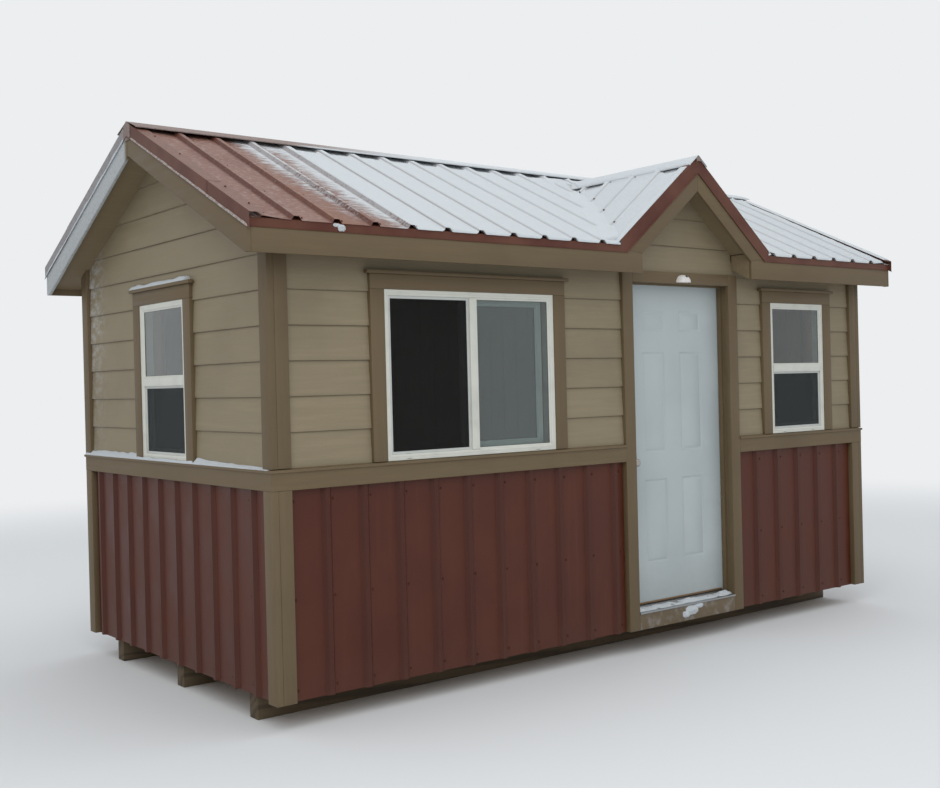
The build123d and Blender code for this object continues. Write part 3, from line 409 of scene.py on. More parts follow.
# Rake boards: the left one's back half holds frost
def frostedRake(name):
    material, tree, shader, paint = paintedWood(name, "Y", **trimPaints)
    frost = times(tree, fade(tree, pointPart(tree, "Y"), 0.01, 0.06), leftEndOnly(tree),
                  fade(tree, grain(tree, 60, 4), 0.25, 0.6, 0.75, 1.0))
    setColor(tree, shader, blendColor(tree, frost, paint, srgb(176, 180, 182)))
    return material


rakeWood = frostedRake("rakeWood")


# The board under the door, touched by frost
def frostedApron(name):
    material, tree, shader, paint = paintedWood(name, "X", **trimPaints)
    frost = fade(tree, grain(tree, 18, 4), 0.46, 0.72, 0.03, 0.3)
    setColor(tree, shader, blendColor(tree, frost, paint, srgb(176, 178, 180)))
    return material


apronWood = frostedApron("apronWood")
soffitPaint = paintedWood("soffitPaint", "X", srgb(122, 106, 80), srgb(130, 114, 88))[0]


def plainWood(name, axis, color, dark, depth=0.0006, roughness=0.75):
    material, tree, shader = startMaterial(name, roughness)
    rings = addNode(tree, "ShaderNodeTexWave",
                    {"Vector": addNode(tree, "ShaderNodeMapping",
                                       {"Vector": objectPoint(tree), "Scale": alongAxis[axis]}).outputs[0],
                     "Scale": 7.0, "Distortion": 9.0, "Detail": 3.0, "Detail Scale": 1.2},
                    bands_direction="DIAGONAL").outputs[1]
    fibres = grain(tree, 240, 4, alongAxis[axis])
    wood = blendColor(tree, fade(tree, rings, 0.3, 0.9, 0, 0.6), color, dark)
    wood = blendColor(tree, fade(tree, fibres, 0.5, 0.8, 0, 0.4), wood, dark)
    setColor(tree, shader, wood)
    addBump(tree, shader, fibres, depth)
    return material


lumber = {axis: plainWood("lumber" + axis, axis, srgb(205, 170, 124), srgb(168, 128, 84)) for axis in "XY"}
skidWood = plainWood("skidWood", "X", srgb(92, 78, 58), srgb(52, 44, 34), 0.0012, 0.85)
rimWood = plainWood("rimWood", "X", srgb(140, 112, 78), srgb(96, 74, 50), 0.0009, 0.8)


# Sheathing: flakes pressed flat
def flakeBoard(name):
    material, tree, shader = startMaterial(name, 0.7)
    flakes = addNode(tree, "ShaderNodeTexVoronoi", {"Vector": objectPoint(tree), "Scale": 26.0}, feature="F1")
    tint = addNode(tree, "ShaderNodeSeparateXYZ", {0: flakes.outputs["Color"]}).outputs[0]
    setColor(tree, shader, blendColor(tree, tint, srgb(196, 162, 112), srgb(150, 112, 68)))
    addBump(tree, shader, tint, 0.0006)
    return material


sheathing = flakeBoard("sheathing")


# Lining boards inside: upright, with dark grooves between them
liningWidth = 0.14


def liningBoards(name, axis):
    material, tree, shader = startMaterial(name, 0.6)
    across = sums(tree, "DIVIDE", pointPart(tree, axis), liningWidth)
    shade = chanceOf(tree, sums(tree, "FLOOR", across))
    groove = fade(tree, fromMiddle(tree, across), 0.478, 0.497)
    wood = blendColor(tree, shade, srgb(206, 172, 126), srgb(184, 146, 100))
    wood = blendColor(tree, fade(tree, grain(tree, 130, 4, alongAxis["Z"]), 0.45, 0.8, 0, 0.5), wood,
                      srgb(150, 110, 70))
    setColor(tree, shader, blendColor(tree, groove, wood, srgb(60, 42, 28)))
    addBump(tree, shader, sums(tree, "SUBTRACT", 1.0, groove), 0.003)
    return material


liningX, liningY = liningBoards("liningX", "X"), liningBoards("liningY", "Y")


# Plastics, glass and metals
def vinylFinish(name, color, shade):
    material, tree, shader = startMaterial(name, 0.38)
    smudge = grain(tree, 8, 4)
    setColor(tree, shader, blendColor(tree, fade(tree, smudge, 0.45, 0.8, 0, 0.6), color, shade))
    setRoughness(tree, shader, fade(tree, smudge, 0.3, 0.8, 0.32, 0.5))
    return material


windowVinyl = vinylFinish("windowVinyl", srgb(210, 210, 200), srgb(188, 189, 180))
sashVinyl = vinylFinish("sashVinyl", srgb(196, 202, 196), srgb(176, 182, 176))
screenRail = vinylFinish("screenRail", srgb(198, 200, 196), srgb(178, 180, 176))
sweepBrown = vinylFinish("sweepBrown", srgb(120, 92, 58), srgb(98, 74, 46))
lampLens = vinylFinish("lampLens", srgb(236, 232, 220), srgb(216, 212, 200))
darkRubber = vinylFinish("darkRubber", srgb(38, 38, 37), srgb(26, 26, 26))
lampPlastic = vinylFinish("lampPlastic", srgb(232, 228, 224), srgb(206, 200, 196))


def steel(name, color, roughness):
    material, tree, shader = startMaterial(name, roughness, 1.0)
    brushed = grain(tree, 300, 2, (1, 1, 0.08))
    setColor(tree, shader, blendColor(tree, brushed, color, darker(color, 0.75)))
    setRoughness(tree, shader, fade(tree, brushed, 0.3, 0.7, roughness - 0.06, roughness + 0.1))
    return material


satinSteel = steel("satinSteel", srgb(176, 172, 166), 0.32)
millMetal = steel("millMetal", srgb(170, 172, 174), 0.42)


def doorFinish(name):
    material, tree, shader = startMaterial(name, 0.42)
    broad = grain(tree, 1.6, 4)
    fibres = grain(tree, 220, 4, alongAxis["Z"])
    paint = blendColor(tree, fade(tree, broad, 0.35, 0.75), srgb(180, 188, 189), srgb(171, 179, 181))
    foot = fade(tree, pointPart(tree, "Z"), slabLow.z, slabLow.z + 0.35, 0.5, 0)
    paint = blendColor(tree, times(tree, foot, grain(tree, 20, 4)), paint, srgb(150, 152, 148))
    setColor(tree, shader, paint)
    addBump(tree, shader, fibres, 0.00025)
    return material


doorPaint = doorFinish("doorPaint")


def paneGlass(name):
    material, tree, shader = startMaterial(name, 0.03)
    shader.inputs["Base Color"].default_value = (0.62, 0.70, 0.69, 1)
    shader.inputs["Transmission Weight"].default_value = 1.0
    shader.inputs["IOR"].default_value = 1.58
    haze = grain(tree, 5, 4)
    setRoughness(tree, shader, fade(tree, haze, 0.4, 0.8, 0.01, 0.10))
    return material


windowGlass = paneGlass("windowGlass")


def insectMesh(name, thread, between, shut):
    material, tree, shader = startMaterial(name, 0.7)
    threads = []
    for axis in ("X", "Y", "Z"):
        threads.append(fade(tree, fromMiddle(tree, times(tree, pointPart(tree, axis), 400)), 0.25, 0.35))
    alpha = fade(tree, most(tree, *threads), 0, 1, between, shut)
    tree.links.new(alpha, shader.inputs["Alpha"])
    shader.inputs["Base Color"].default_value = thread
    shader.inputs["Specular IOR Level"].default_value = 0.2
    return material


screenMesh = insectMesh("screenMesh", (0.010, 0.010, 0.009, 1), 0.45, 0.75)
paleMesh = insectMesh("paleMesh", (0.040, 0.046, 0.046, 1), 0.42, 0.70)


def snowFinish(name):
    material, tree, shader = startMaterial(name, 0.9)
    clumps = grain(tree, 70, 5)
    setColor(tree, shader, blendColor(tree, clumps, srgb(203, 207, 210), srgb(188, 194, 198)))
    shader.inputs["Subsurface Weight"].default_value = 0.25
    shader.inputs["Subsurface Radius"].default_value = (0.006, 0.007, 0.008)
    shader.inputs["Subsurface Scale"].default_value = 0.5
    addBump(tree, shader, clumps, 0.004)
    return material


snow = snowFinish("snow")


# Half-melted snow on the rake trim's lip, stained by the paint under it
def slushFinish(name):
    material, tree, shader = startMaterial(name, 0.8)
    clumps = grain(tree, 55, 5)
    stain = fade(tree, clumps, 0.3, 0.7)
    setColor(tree, shader, blendColor(tree, stain, srgb(128, 114, 106), srgb(176, 168, 164)))
    addBump(tree, shader, clumps, 0.004)
    return material


slush = slushFinish("slush")

print("materials made")


def dress(material, *names):
    for name in names:
        nodes[name].data.materials.clear()
        nodes[name].data.materials.append(material)


dress(skidWood, "skids")
dress(rimWood, "floor_rims")
dress(lumber["Y"], "floor_joists", "rafters", "dormer_rafters")
dress(sheathing, "floor_deck", "roof_deck_front", "roof_deck_back", "dormer_deck", "dormer_wall")
dress(liningX, "front_wall_left", "front_wall_right", "front_wall_header", "back_wall")
dress(liningY, "left_wall", "right_wall")
dress(wallMetalX, "front_wainscot", "back_wainscot")
dress(wallMetalY, "left_wainscot", "right_wainscot")
dress(sidingX, "front_siding", "back_siding")
dress(sidingY, "left_siding", "right_siding")
dress(trimPaint["Z"], "corner_boards", "door_trim", "door_frame", "window_trims")
dress(trimPaint["X"], "belt_trim", "eave_fascias", "dormer_fascias")
dress(soffitPaint, "soffits", "dormer_soffit")
dress(trimPaint["Y"], "rake_fascias")
dress(millMetal, "door_sill")
dress(doorPaint, "door_slab")
dress(satinSteel, "door_knobs", "hinge_frame_leaves", "hinge_door_leaves")
dress(lampPlastic, "porch_light")
dress(windowVinyl, "window_frames", "window_sashes")
dress(windowGlass, "window_glass")
dress(screenMesh, "window_screens")
dress(lumber["X"], "ridge_board")
dress(roofMetalMain, "roof_metal_front", "roof_metal_back")
dress(roofMetalDormer, "dormer_metal")
dress(redTrim, "valley_flashing", "drip_edges", "rake_trims", "dormer_rake_trims")
dress(ridgeMetal, "ridge_cap")
dress(dormerRidgeMetal, "dormer_ridge_cap")
print("frame dressed")


# Shape helpers, in metres. A board takes its grain from its longest side

def soften(shape, verts, edge):
    faces = {face for vert in verts for face in vert.link_faces}
    for face in faces:
        face.normal_update()
    lines = {line for vert in verts for line in vert.link_edges if line.calc_face_angle(0) > 0.35}
    bmesh.ops.bevel(shape, geom=list(lines), offset=edge, segments=2, profile=0.5, affect="EDGES",
                    material=-1, clamp_overlap=True)


def addBoard(shape, low, high, edge=0.002, index=None):
    low, high = Vector(low), Vector(high)
    size = high - low
    made = bmesh.ops.create_cube(shape, size=1)["verts"]
    bmesh.ops.scale(shape, vec=size, verts=made)
    bmesh.ops.translate(shape, vec=(low + high) / 2, verts=made)
    longest = max(range(3), key=lambda axis: size[axis])
    for face in {face for vert in made for face in vert.link_faces}:
        face.material_index = longest if index is None else index
    soften(shape, made, edge)


def addPrism(shape, outline, along, edge=0.0, index=0):
    near = [shape.verts.new(point) for point in outline]
    far = [shape.verts.new(Vector(point) + Vector(along)) for point in outline]
    faces = [shape.faces.new(near), shape.faces.new(list(reversed(far)))]
    for one, two, three, four in zip(near, far, far[1:] + far[:1], near[1:] + near[:1]):
        faces.append(shape.faces.new((one, two, three, four)))
    for face in faces:
        face.material_index = index
    bmesh.ops.recalc_face_normals(shape, faces=faces)
    if edge:
        soften(shape, near + far, edge)


def addRing(shape, low, high, section, index=0):
    loops = []
    for inset, depth in section:
        x0, y0, x1, y1 = low[0] + inset, low[1] + inset, high[0] - inset, high[1] - inset
        loops.append([shape.verts.new((x, y, depth)) for x, y in ((x0, y0), (x1, y0), (x1, y1), (x0, y1))])
    for near, far in zip(loops, loops[1:] + loops[:1]):
        for corner in range(4):
            beside = (corner + 1) % 4
            face = shape.faces.new((near[corner], near[beside], far[beside], far[corner]))
            face.material_index = index


def addTurned(shape, profile, matrix, steps, index=0):
    turns = [math.tau * step / steps for step in range(steps)]
    rings = []
    for radius, height in profile:
        spots = [(radius * math.cos(turn), radius * math.sin(turn), height) for turn in turns]
        if radius < 1e-6:
            spots = [(0, 0, height)]
        rings.append([shape.verts.new(matrix @ Vector(spot)) for spot in spots])
    for near, far in zip(rings, rings[1:]):
        for step in range(steps):
            after = (step + 1) % steps
            corners = [near[step % len(near)], near[after % len(near)]]
            corners += [far[after % len(far)], far[step % len(far)]]
            kept = list(dict.fromkeys(corners))
            if len(kept) > 2:
                shape.faces.new(kept).material_index = index


def joinShape(whole, part):
    holder = bpy.data.meshes.new("part")
    part.to_mesh(holder)
    part.free()
    whole.from_mesh(holder)
    bpy.data.meshes.remove(holder)


def finishPiece(name, shape, materials, body="shed", stands=(), angle=30, shades=False):
    bmesh.ops.recalc_face_normals(shape, faces=shape.faces)
    if shades:
        layer = shape.faces.layers.float.new("boardShade")
        chance, seen = random.Random(name), set()
        for face in shape.faces:
            if face in seen:
                continue
            shade, group = chance.random(), [face]
            seen.add(face)
            while group:
                one = group.pop()
                one[layer] = shade
                for other in {near for line in one.edges for near in line.link_faces} - seen:
                    seen.add(other)
                    group.append(other)
    mesh = bpy.data.meshes.new(name)
    shape.to_mesh(mesh)
    shape.free()
    mesh.shade_smooth()
    mesh.set_sharp_from_angle(angle=math.radians(angle))
    for material in materials:
        mesh.materials.append(material)
    piece = bpy.data.objects.new(name, mesh)
    bpy.context.scene.collection.objects.link(piece)
    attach(piece, body)
    if stands:
        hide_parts(*stands)


trimWoods = [trimPaint[axis] for axis in "XYZ"]

# Trim boards, each a board of its own with eased edges
boards = {
    "edge": 0.0022,
    "windowHead": 0.080,
    "doorHead": 0.072,
    "capHeight": 0.019,
    "capNose": 0.014,
    "capEnd": 0.024,
    "capBack": 0.019,
    "thinEdge": 0.0005,
    "gap": 0.0004,
    "seat": 0.0003,
    "corner": 0.076,
    "eaveThick": 0.019,
    "eaveWide": 0.140,
    "dormerLeg": 0.517,
    "ridgeGap": 0.0002,
    "ledgeNose": 0.008,
    "skidEdge": 0.005,
}
windowHeight = 0.902
trimLow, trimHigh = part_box("door_trim")
casingLeft, casingRight = trimLow.x + boardWidth, trimHigh.x - boardWidth
casingHead = trimHigh.z - boards["doorHead"]
apronTop = trimLow.z + 0.098
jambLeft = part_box("door_frame")[0].x + jambThickness
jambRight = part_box("door_frame")[1].x - jambThickness
beltFoot = beltLow.z
windowPlaces = {
    "wide": (-1.18675, frontFace, 1.194, (0, -1)),
    "small": (1.73375, frontFace, 0.6, (0, -1)),
    "leftGable": (leftFace, 0.02, 0.6, (-1, 0)),
    "rightGable": (rightFace, 0.02, 0.6, (1, 0)),
}


def windowMatrix(x, y, outward):
    right = Vector((-outward[1], outward[0], 0))
    made = Matrix((right, Vector((0, 0, 1)), Vector((outward[0], outward[1], 0)))).transposed().to_4x4()
    return Matrix.Translation((x, y, beltTop)) @ made


def boardAt(shape, matrix, low, high, edge):
    corners = [matrix @ Vector(low), matrix @ Vector(high)]
    addBoard(shape, [min(a, b) for a, b in zip(*corners)], [max(a, b) for a, b in zip(*corners)], edge)


def makeCasings():
    shape, edge, gap, seat = bmesh.new(), boards["edge"], boards["gap"], boards["seat"]
    headTop = windowHeight + boards["windowHead"]
    capHead = headTop + boards["capHeight"]
    for x, y, width, outward in windowPlaces.values():
        matrix = windowMatrix(x, y, outward)
        half = width / 2
        reach = half + boardWidth
        capReach = reach + boards["capEnd"]
        for side in (-1, 1):
            boardAt(shape, matrix, (side * half, 0, -boardThickness), (side * reach, windowHeight, 0), edge)
        boardAt(shape, matrix, (-reach, windowHeight + gap, -boardThickness), (reach, headTop, 0), edge)
        boardAt(shape, matrix, (-capReach, headTop + seat, -boardThickness + boards["capBack"]),
                (capReach, capHead, boards["capNose"]), edge)
        boardAt(shape, matrix, (-reach, headTop + seat, -boardThickness), (reach, capHead - 0.0005, 0),
                boards["thinEdge"])
    finishPiece("windowCasings", shape, trimWoods, stands=["window_trims"], shades=True)

    shape = bmesh.new()
    back = frontFace + boardThickness
    for x0, x1 in ((trimLow.x, casingLeft), (casingRight, trimHigh.x)):
        addBoard(shape, (x0, frontFace, wallFoot), (x1, back, trimHigh.z), edge)
    inLeft, inRight = casingLeft + gap, casingRight - gap
    addBoard(shape, (inLeft, frontFace, casingHead), (inRight, back, trimHigh.z), edge)
    addBoard(shape, (inLeft, frontFace, wallFoot), (inRight, back, apronTop), edge, 3)
    finishPiece("doorCasing", shape, trimWoods + [apronWood], stands=["door_trim"],
                shades=True)


makeCasings()


# Corner posts, two boards each, above and below the belt, their heads cut to the soffit
def addPost(shape, xs, ys, foot, head):
    near, far = sorted(ys)
    tops = [min(head, roofZ(y, soffitFoot)) for y in (near, far)]
    low, high = sorted(xs)
    addPrism(shape, [(low, near, foot), (low, far, foot), (low, far, tops[1]), (low, near, tops[0])],
             (high - low, 0, 0), boards["edge"], 2)


def makePosts():
    shape = bmesh.new()
    for sideX in (-1, 1):
        for sideY in (-1, 1):
            outerX, outerY = sideX * rightFace, sideY * backFace
            inner = outerX - sideX * boardThickness
            for foot, head in ((wallFoot, beltFoot), (beltTop, cornerHigh.z)):
                addPost(shape, (outerX, inner), (outerY, outerY - sideY * boardWidth), foot, head)
                addPost(shape, (inner - sideX * boards["gap"], inner - sideX * boards["corner"]),
                        (outerY, outerY - sideY * boardThickness), foot, head)
    finishPiece("cornerPosts", shape, trimWoods, stands=["corner_boards"], shades=True)


makePosts()


# Belt board and sloped ledge, carried round the corners and stopped at the door casing
def addSweep(shape, profile):
    path = ((trimLow.x, frontFace, 0, -1), (leftFace, frontFace, -1, -1), (leftFace, backFace, -1, 1),
            (rightFace, backFace, 1, 1), (rightFace, frontFace, 1, -1), (trimHigh.x, frontFace, 0, -1))
    rings = [[shape.verts.new((x + out * alongX, y + out * alongY, z)) for out, z in profile]
             for x, y, alongX, alongY in path]
    for near, far in zip(rings, rings[1:]):
        for one in range(len(profile)):
            two = (one + 1) % len(profile)
            face = shape.faces.new((near[one], near[two], far[two], far[one]))
            face.material_index = 1 if abs(near[0].co.x - far[0].co.x) < 0.1 else 0
    shape.faces.new(rings[0])
    shape.faces.new(rings[-1])


def makeBelt():
    shape, edge = bmesh.new(), boards["edge"]
    ledgeFoot, nose, inside = beltFoot + boardWidth, boards["ledgeNose"], -boardThickness
    seated = ledgeFoot + boards["seat"]
    addSweep(shape, [(-edge, beltFoot), (0, beltFoot + edge), (0, ledgeFoot), (inside, ledgeFoot),
                     (inside, beltFoot)])
    addSweep(shape, [(0, seated), (nose - 0.0015, seated), (nose, ledgeFoot + 0.002),
                     (nose, beltTop - 0.008), (nose - 0.0015, beltTop - 0.006), (inside + 0.019, beltTop),
                     (inside, beltTop), (inside, seated)])
    finishPiece("beltBoards", shape, trimWoods, stands=["belt_trim"])


makeBelt()


# Boards along the roof's edges, the front one cut at the door and mitred up into the dormer, and skids
def makeEdgeBoards():
    edge, thick, width, leg = (boards[key] for key in ("edge", "eaveThick", "eaveWide", "dormerLeg"))
    foot, tail, fly, middle = eaveTop - width, eaveY + thick, gableX + thick, boards["ridgeGap"]
    innerZ = dormerZ(doorMiddle + leg, -width)
    shape = bmesh.new()
    for side in (-1, 1):
        outline = [(-side * fly, foot), (doorMiddle + side * leg, foot), (doorMiddle + side * leg, innerZ),
                   (doorMiddle + side * dormerReach, eaveTop), (-side * fly, eaveTop)]
        addPrism(shape, [(x, eaveY, z) for x, z in outline], (0, thick, 0), edge)
    addBoard(shape, (fly, -tail, foot), (-fly, -eaveY, eaveTop), edge, 0)
    finishPiece("eaveBoards", shape, trimWoods, stands=["eave_fascias"], shades=True)
    shape = bmesh.new()
    run = (foot - roofZ(eaveY, -width)) / roofSlope
    for x in (gableX, -fly):
        for side in (-1, 1):
            outline = [(-eaveY, foot), (-eaveY - run, foot), (middle, roofZ(0, -width)), (middle, roofZ(0)),
                       (-eaveY, eaveTop)]
            addPrism(shape, [(x, side * y, z) for y, z in outline], (thick, 0, 0), edge, 1)
    finishPiece("rakeBoards", shape, [trimPaint["X"], rakeWood, trimPaint["Z"]],
                stands=["rake_fascias"], shades=True)
    shape = bmesh.new()
    for side in (-1, 1):
        outline = [(leg, innerZ), (middle, dormerZ(doorMiddle, -width)), (middle, dormerTop),
                   (dormerReach, eaveTop)]
        addPrism(shape, [(doorMiddle + side * x, eaveY, z) for x, z in outline], (0, thick, 0), edge)
    finishPiece("dormerBoards", shape, trimWoods, stands=["dormer_fascias"], shades=True)
    shape = bmesh.new()
    skidLow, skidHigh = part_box("skids")
    for y in (skidLow.y, -boardWidth / 2, skidHigh.y - boardWidth):
        addBoard(shape, (skidLow.x, y, 0), (skidHigh.x, y + boardWidth, skidHigh.z), boards["skidEdge"], 0)
    finishPiece("skidBeams", shape, [skidWood], stands=["skids"], shades=True)


makeEdgeBoards()


# Main roof metal: ribbed sheets that lie a little off the deck, drip edges and rake trims. Heights are
# measured square to the slope
metal = {
    "sheet": 0.001,
    "ribHeight": 0.019,
    "ribs": 22,
    "rows": 4,
    "liftEave": 0.008,
    "overhang": 0.006,
    "ridgeGap": 0.015,
    "valleyGap": 0.014,
    "edgeStops": (0.0005, 0.064, 0.076, 0.090, 0.120, 0.150),
    "climbFrom": 0.064,
    "climbRun": 0.012,
    "climbGap": 0.0024,
    "climbShare": 0.35,
    "fallEnd": 0.215,
    "fallRun": 0.125,
    "drop": 0.020,
    "dripLeg": 0.060,
    "dormerCover": 0.050,
    "dormerTrimTop": 0.0333,
    "trimTop": 0.0265,
    "trimLift": 0.0245,
    "flange": 0.078,
    "face": 0.066,
    "lip": 0.0074,
    "lapAt": 0.955,
    "lapBy": 0.03,
    "lapRise": 0.0013,
    "pastSheet": 0.018,
}
ribShape = ((-0.030, 0), (-0.0275, 0.05), (-0.0150, 0.95), (-0.0125, 1), (0.0125, 1), (0.0150, 0.95),
            (0.0275, 0.05), (0.030, 0))
sheetEnd = -eaveY + metal["overhang"]


def roofLift(away):
    return metal["liftEave"] * away / -eaveY


def rakeTop(away):
    return metal["trimTop"] + metal["trimLift"] * away / -eaveY


# The sheet climbs to the rake trim's flange, then falls back to the slope
def edgeRise(x, away):
    inside = min(x - gableX, -gableX - x)
    climb = clamp((inside - metal["climbFrom"]) / metal["climbRun"])
    climb *= clamp((metal["fallEnd"] - inside) / metal["fallRun"])
    room = max(0.0, rakeTop(away) - sheetFoot - roofLift(away) - metal["climbGap"])
    return climb * room * metal["climbShare"]


def addSheet(shape, columns, up):
    grid = []
    for column in columns:
        grid.append([(shape.verts.new(spot), shape.verts.new(Vector(spot) + up)) for spot in column])
    for near, far in zip(grid, grid[1:]):
        for row in range(len(near) - 1):
            for layer in (0, 1):
                shape.faces.new([pair[layer] for pair in (near[row], far[row], far[row + 1], near[row + 1])])
        for row in (0, -1):
            shape.faces.new((near[row][0], far[row][0], far[row][1], near[row][1]))
    for line in (grid[0], grid[-1]):
        for one, two in zip(line, line[1:]):
            shape.faces.new((one[0], two[0], two[1], one[1]))


def makeRoofSheets():
    shape = bmesh.new()
    stops, rows = metal["edgeStops"], metal["rows"]
    profile = [(gableX + inside, 0) for inside in stops]
    for number in range(metal["ribs"]):
        profile += [(ribFirst + number * ribPitch + offset, share) for offset, share in ribShape]
    profile += [(-gableX - inside, 0) for inside in reversed(stops)]
    for side in (-1, 1):
        columns = []
        for x, share in profile:
            end = sheetEnd
            if side < 0:
                end = min(end, valleyApex + (abs(x - doorMiddle) - metal["valleyGap"]) / valleyRun)
            column = []
            for step in range(rows + 1):
                away = metal["ridgeGap"] + (end - metal["ridgeGap"]) * step / rows
                rise = sheetFoot + roofLift(away) + share * metal["ribHeight"] + edgeRise(x, away)
                column.append((x, side * away, roofZ(away, rise)))
            columns.append(column)
        addSheet(shape, columns, Vector((0, 0, metal["sheet"] * roofSpread)))
    finishPiece("roofSheets", shape, [roofMetalMain],
                stands=["roof_metal_front", "roof_metal_back"], angle=20)


def addBent(shape, profile, lengths, place):
    rings = [[shape.verts.new(place(along, *point)) for point in profile] for along in lengths]
    for near, far in zip(rings, rings[1:]):
        for one in range(len(profile)):
            two = (one + 1) % len(profile)
            shape.faces.new((near[one], near[two], far[two], far[one]))
    shape.faces.new(rings[0])
    shape.faces.new(rings[-1])


def makeDripEdges():
    shape = bmesh.new()
    skin, foot, under = metal["sheet"], eaveTop - metal["drop"], sheetFoot + metal["liftEave"] - 0.0012
    y0, y1 = -eaveY, -eaveY - metal["dripLeg"]
    profile = [(y0 + skin, foot + 0.0012), (y0 + skin, roofZ(y0 + skin, under)),
               (y1, roofZ(y1, under - 0.0006)), (y1, roofZ(y1, under - 0.0006 - skin)),
               (y0, roofZ(y0, under - skin)), (y0, foot + 0.006), (y0 + 0.0002, foot + 0.0012),
               (y0 + skin + 0.0025, foot - 0.0022), (y0 + skin + 0.0032, foot - 0.0012)]
    # The front one ends on the mitre with the dormer's rake trims
    crest = roofZ(eaveY, metal["dormerTrimTop"])
    inner = (dormerZ(doorMiddle, -metal["dormerCover"]) - foot) / dormerSlope
    outer = (dormerZ(doorMiddle, metal["dormerTrimTop"]) - crest) / dormerSlope
    for start, end, side in ((gableX, doorMiddle, -1), (doorMiddle, -gableX, 1)):
        part = bmesh.new()
        addBent(part, profile, (start, end), lambda x, away, z: (x, -away, z))
        geometry = part.verts[:] + part.edges[:] + part.faces[:]
        cut = bmesh.ops.bisect_plane(part, geom=geometry, plane_co=(doorMiddle + side * inner, 0, foot),
                                     plane_no=(-side * (crest - foot), 0, outer - inner), clear_outer=True)
        rim = [one for one in cut["geom_cut"] if isinstance(one, bmesh.types.BMEdge)]
        bmesh.ops.edgeloop_fill(part, edges=rim)
        joinShape(shape, part)
    addBent(shape, profile, (gableX, -gableX), lambda x, away, z: (x, away, z))
    finishPiece("dripEdges", shape, [redTrim], stands=["drip_edges"], angle=35)


def makeRakeTrims():
    shape = bmesh.new()
    skin, flange, lip = metal["sheet"], metal["flange"], metal["lip"]
    foot = -metal["face"]
    profile = [(flange, -0.0035), (flange, 0), (0, 0), (-skin, -0.0008), (-skin, foot), (-lip, foot - 0.0040),
               (-lip, foot - 0.0052), (0, foot - 0.0014), (0, -skin), (flange - skin, -skin),
               (flange - skin, -0.0035)]
    pieces = ((0.0005, metal["lapAt"] + metal["lapBy"], metal["lapRise"]),
              (metal["lapAt"], sheetEnd + metal["pastSheet"], 0))
    for edge, inward in ((gableX, 1), (-gableX, -1)):
        for side in (-1, 1):
            for start, end, out in pieces:
                addBent(shape, profile, (start, (start + end) / 2, end),
                        lambda away, across, rise: (edge + inward * (across - out), side * away,
                                                    roofZ(away, rakeTop(away) + rise + out)))
    finishPiece("rakeTrims", shape, [rakeMetal], stands=["rake_trims"], angle=35)


# Ridge caps with hemmed legs, folded down at the gables. The main one is bent flatter than the roof, so
# its legs stand off the sheets
caps = {
    "reach": 0.130,
    "dormerReach": 0.078,
    "skin": 0.001,
    "hem": 0.004,
    "spring": 0.014,
    "sink": 0.003,
    "pastGable": 0.0034,
    "pastEave": 0.014,
    "dormerRows": (-0.9, -0.5),
    "valleyCut": 0.83,
    "foldSkin": 0.0006,
    "fold": ((-0.030, -0.052), (0.030, -0.052), (0.046, -0.030), (0.050, 0.030), (0, 0.0345), (-0.050, 0.030),
             (-0.046, -0.030)),
    "dormerFold": ((0.018, 0.018), (0.022, 0.031), (0, 0.0345), (-0.022, 0.031), (-0.018, 0.018)),
}


def capSpring(across):
    return caps["spring"] * abs(across) / caps["reach"] - caps["sink"]


def capProfile(reach):
    skin, hem = caps["skin"], caps["hem"]
    return [(-reach, -hem), (-reach, skin), (0, skin), (reach, skin), (reach, -hem), (reach - skin, -hem),
            (reach - skin, 0), (0, 0), (skin - reach, 0), (skin - reach, -hem)]


def makeCaps():
    skin = caps["skin"]
    shape = bmesh.new()
    low, high = gableX - caps["pastGable"], -gableX + caps["pastGable"]
    addBent(shape, capProfile(caps["reach"]), [low + (high - low) * step / 12 for step in range(13)],
            lambda x, across, rise: (x, across, roofZ(across, capTop - skin + rise + capSpring(across))))
    finishPiece("ridgeCap", shape, [ridgeMetal], stands=["ridge_cap"], angle=30)
    shape = bmesh.new()
    end = -valleyApex - 0.02

    def onDormer(y, across, rise):
        x = doorMiddle + across
        return (x, y - (caps["valleyCut"] * abs(across) if y == end else 0), dormerZ(x, capTop - skin + rise))

    rows = (eaveY - caps["pastEave"], *caps["dormerRows"], end)
    addBent(shape, capProfile(caps["dormerReach"]), rows, onDormer)
    finishPiece("dormerCap", shape, [dormerRidgeMetal], stands=["dormer_ridge_cap"],
                angle=30)
    shape = bmesh.new()
    for spot in (gableX - 0.0040, -gableX + caps["pastGable"]):
        addPrism(shape, [(spot, y, roofZ(y, layer)) for y, layer in caps["fold"]], (caps["foldSkin"], 0, 0))
    outline = [(doorMiddle + x, eaveY - 0.0146, dormerZ(doorMiddle + x, layer))
               for x, layer in caps["dormerFold"]]
    addPrism(shape, outline, (0, caps["foldSkin"], 0))
    finishPiece("capEnds", shape, [foldMetal])


makeRoofSheets()
makeDripEdges()
makeRakeTrims()
makeCaps()


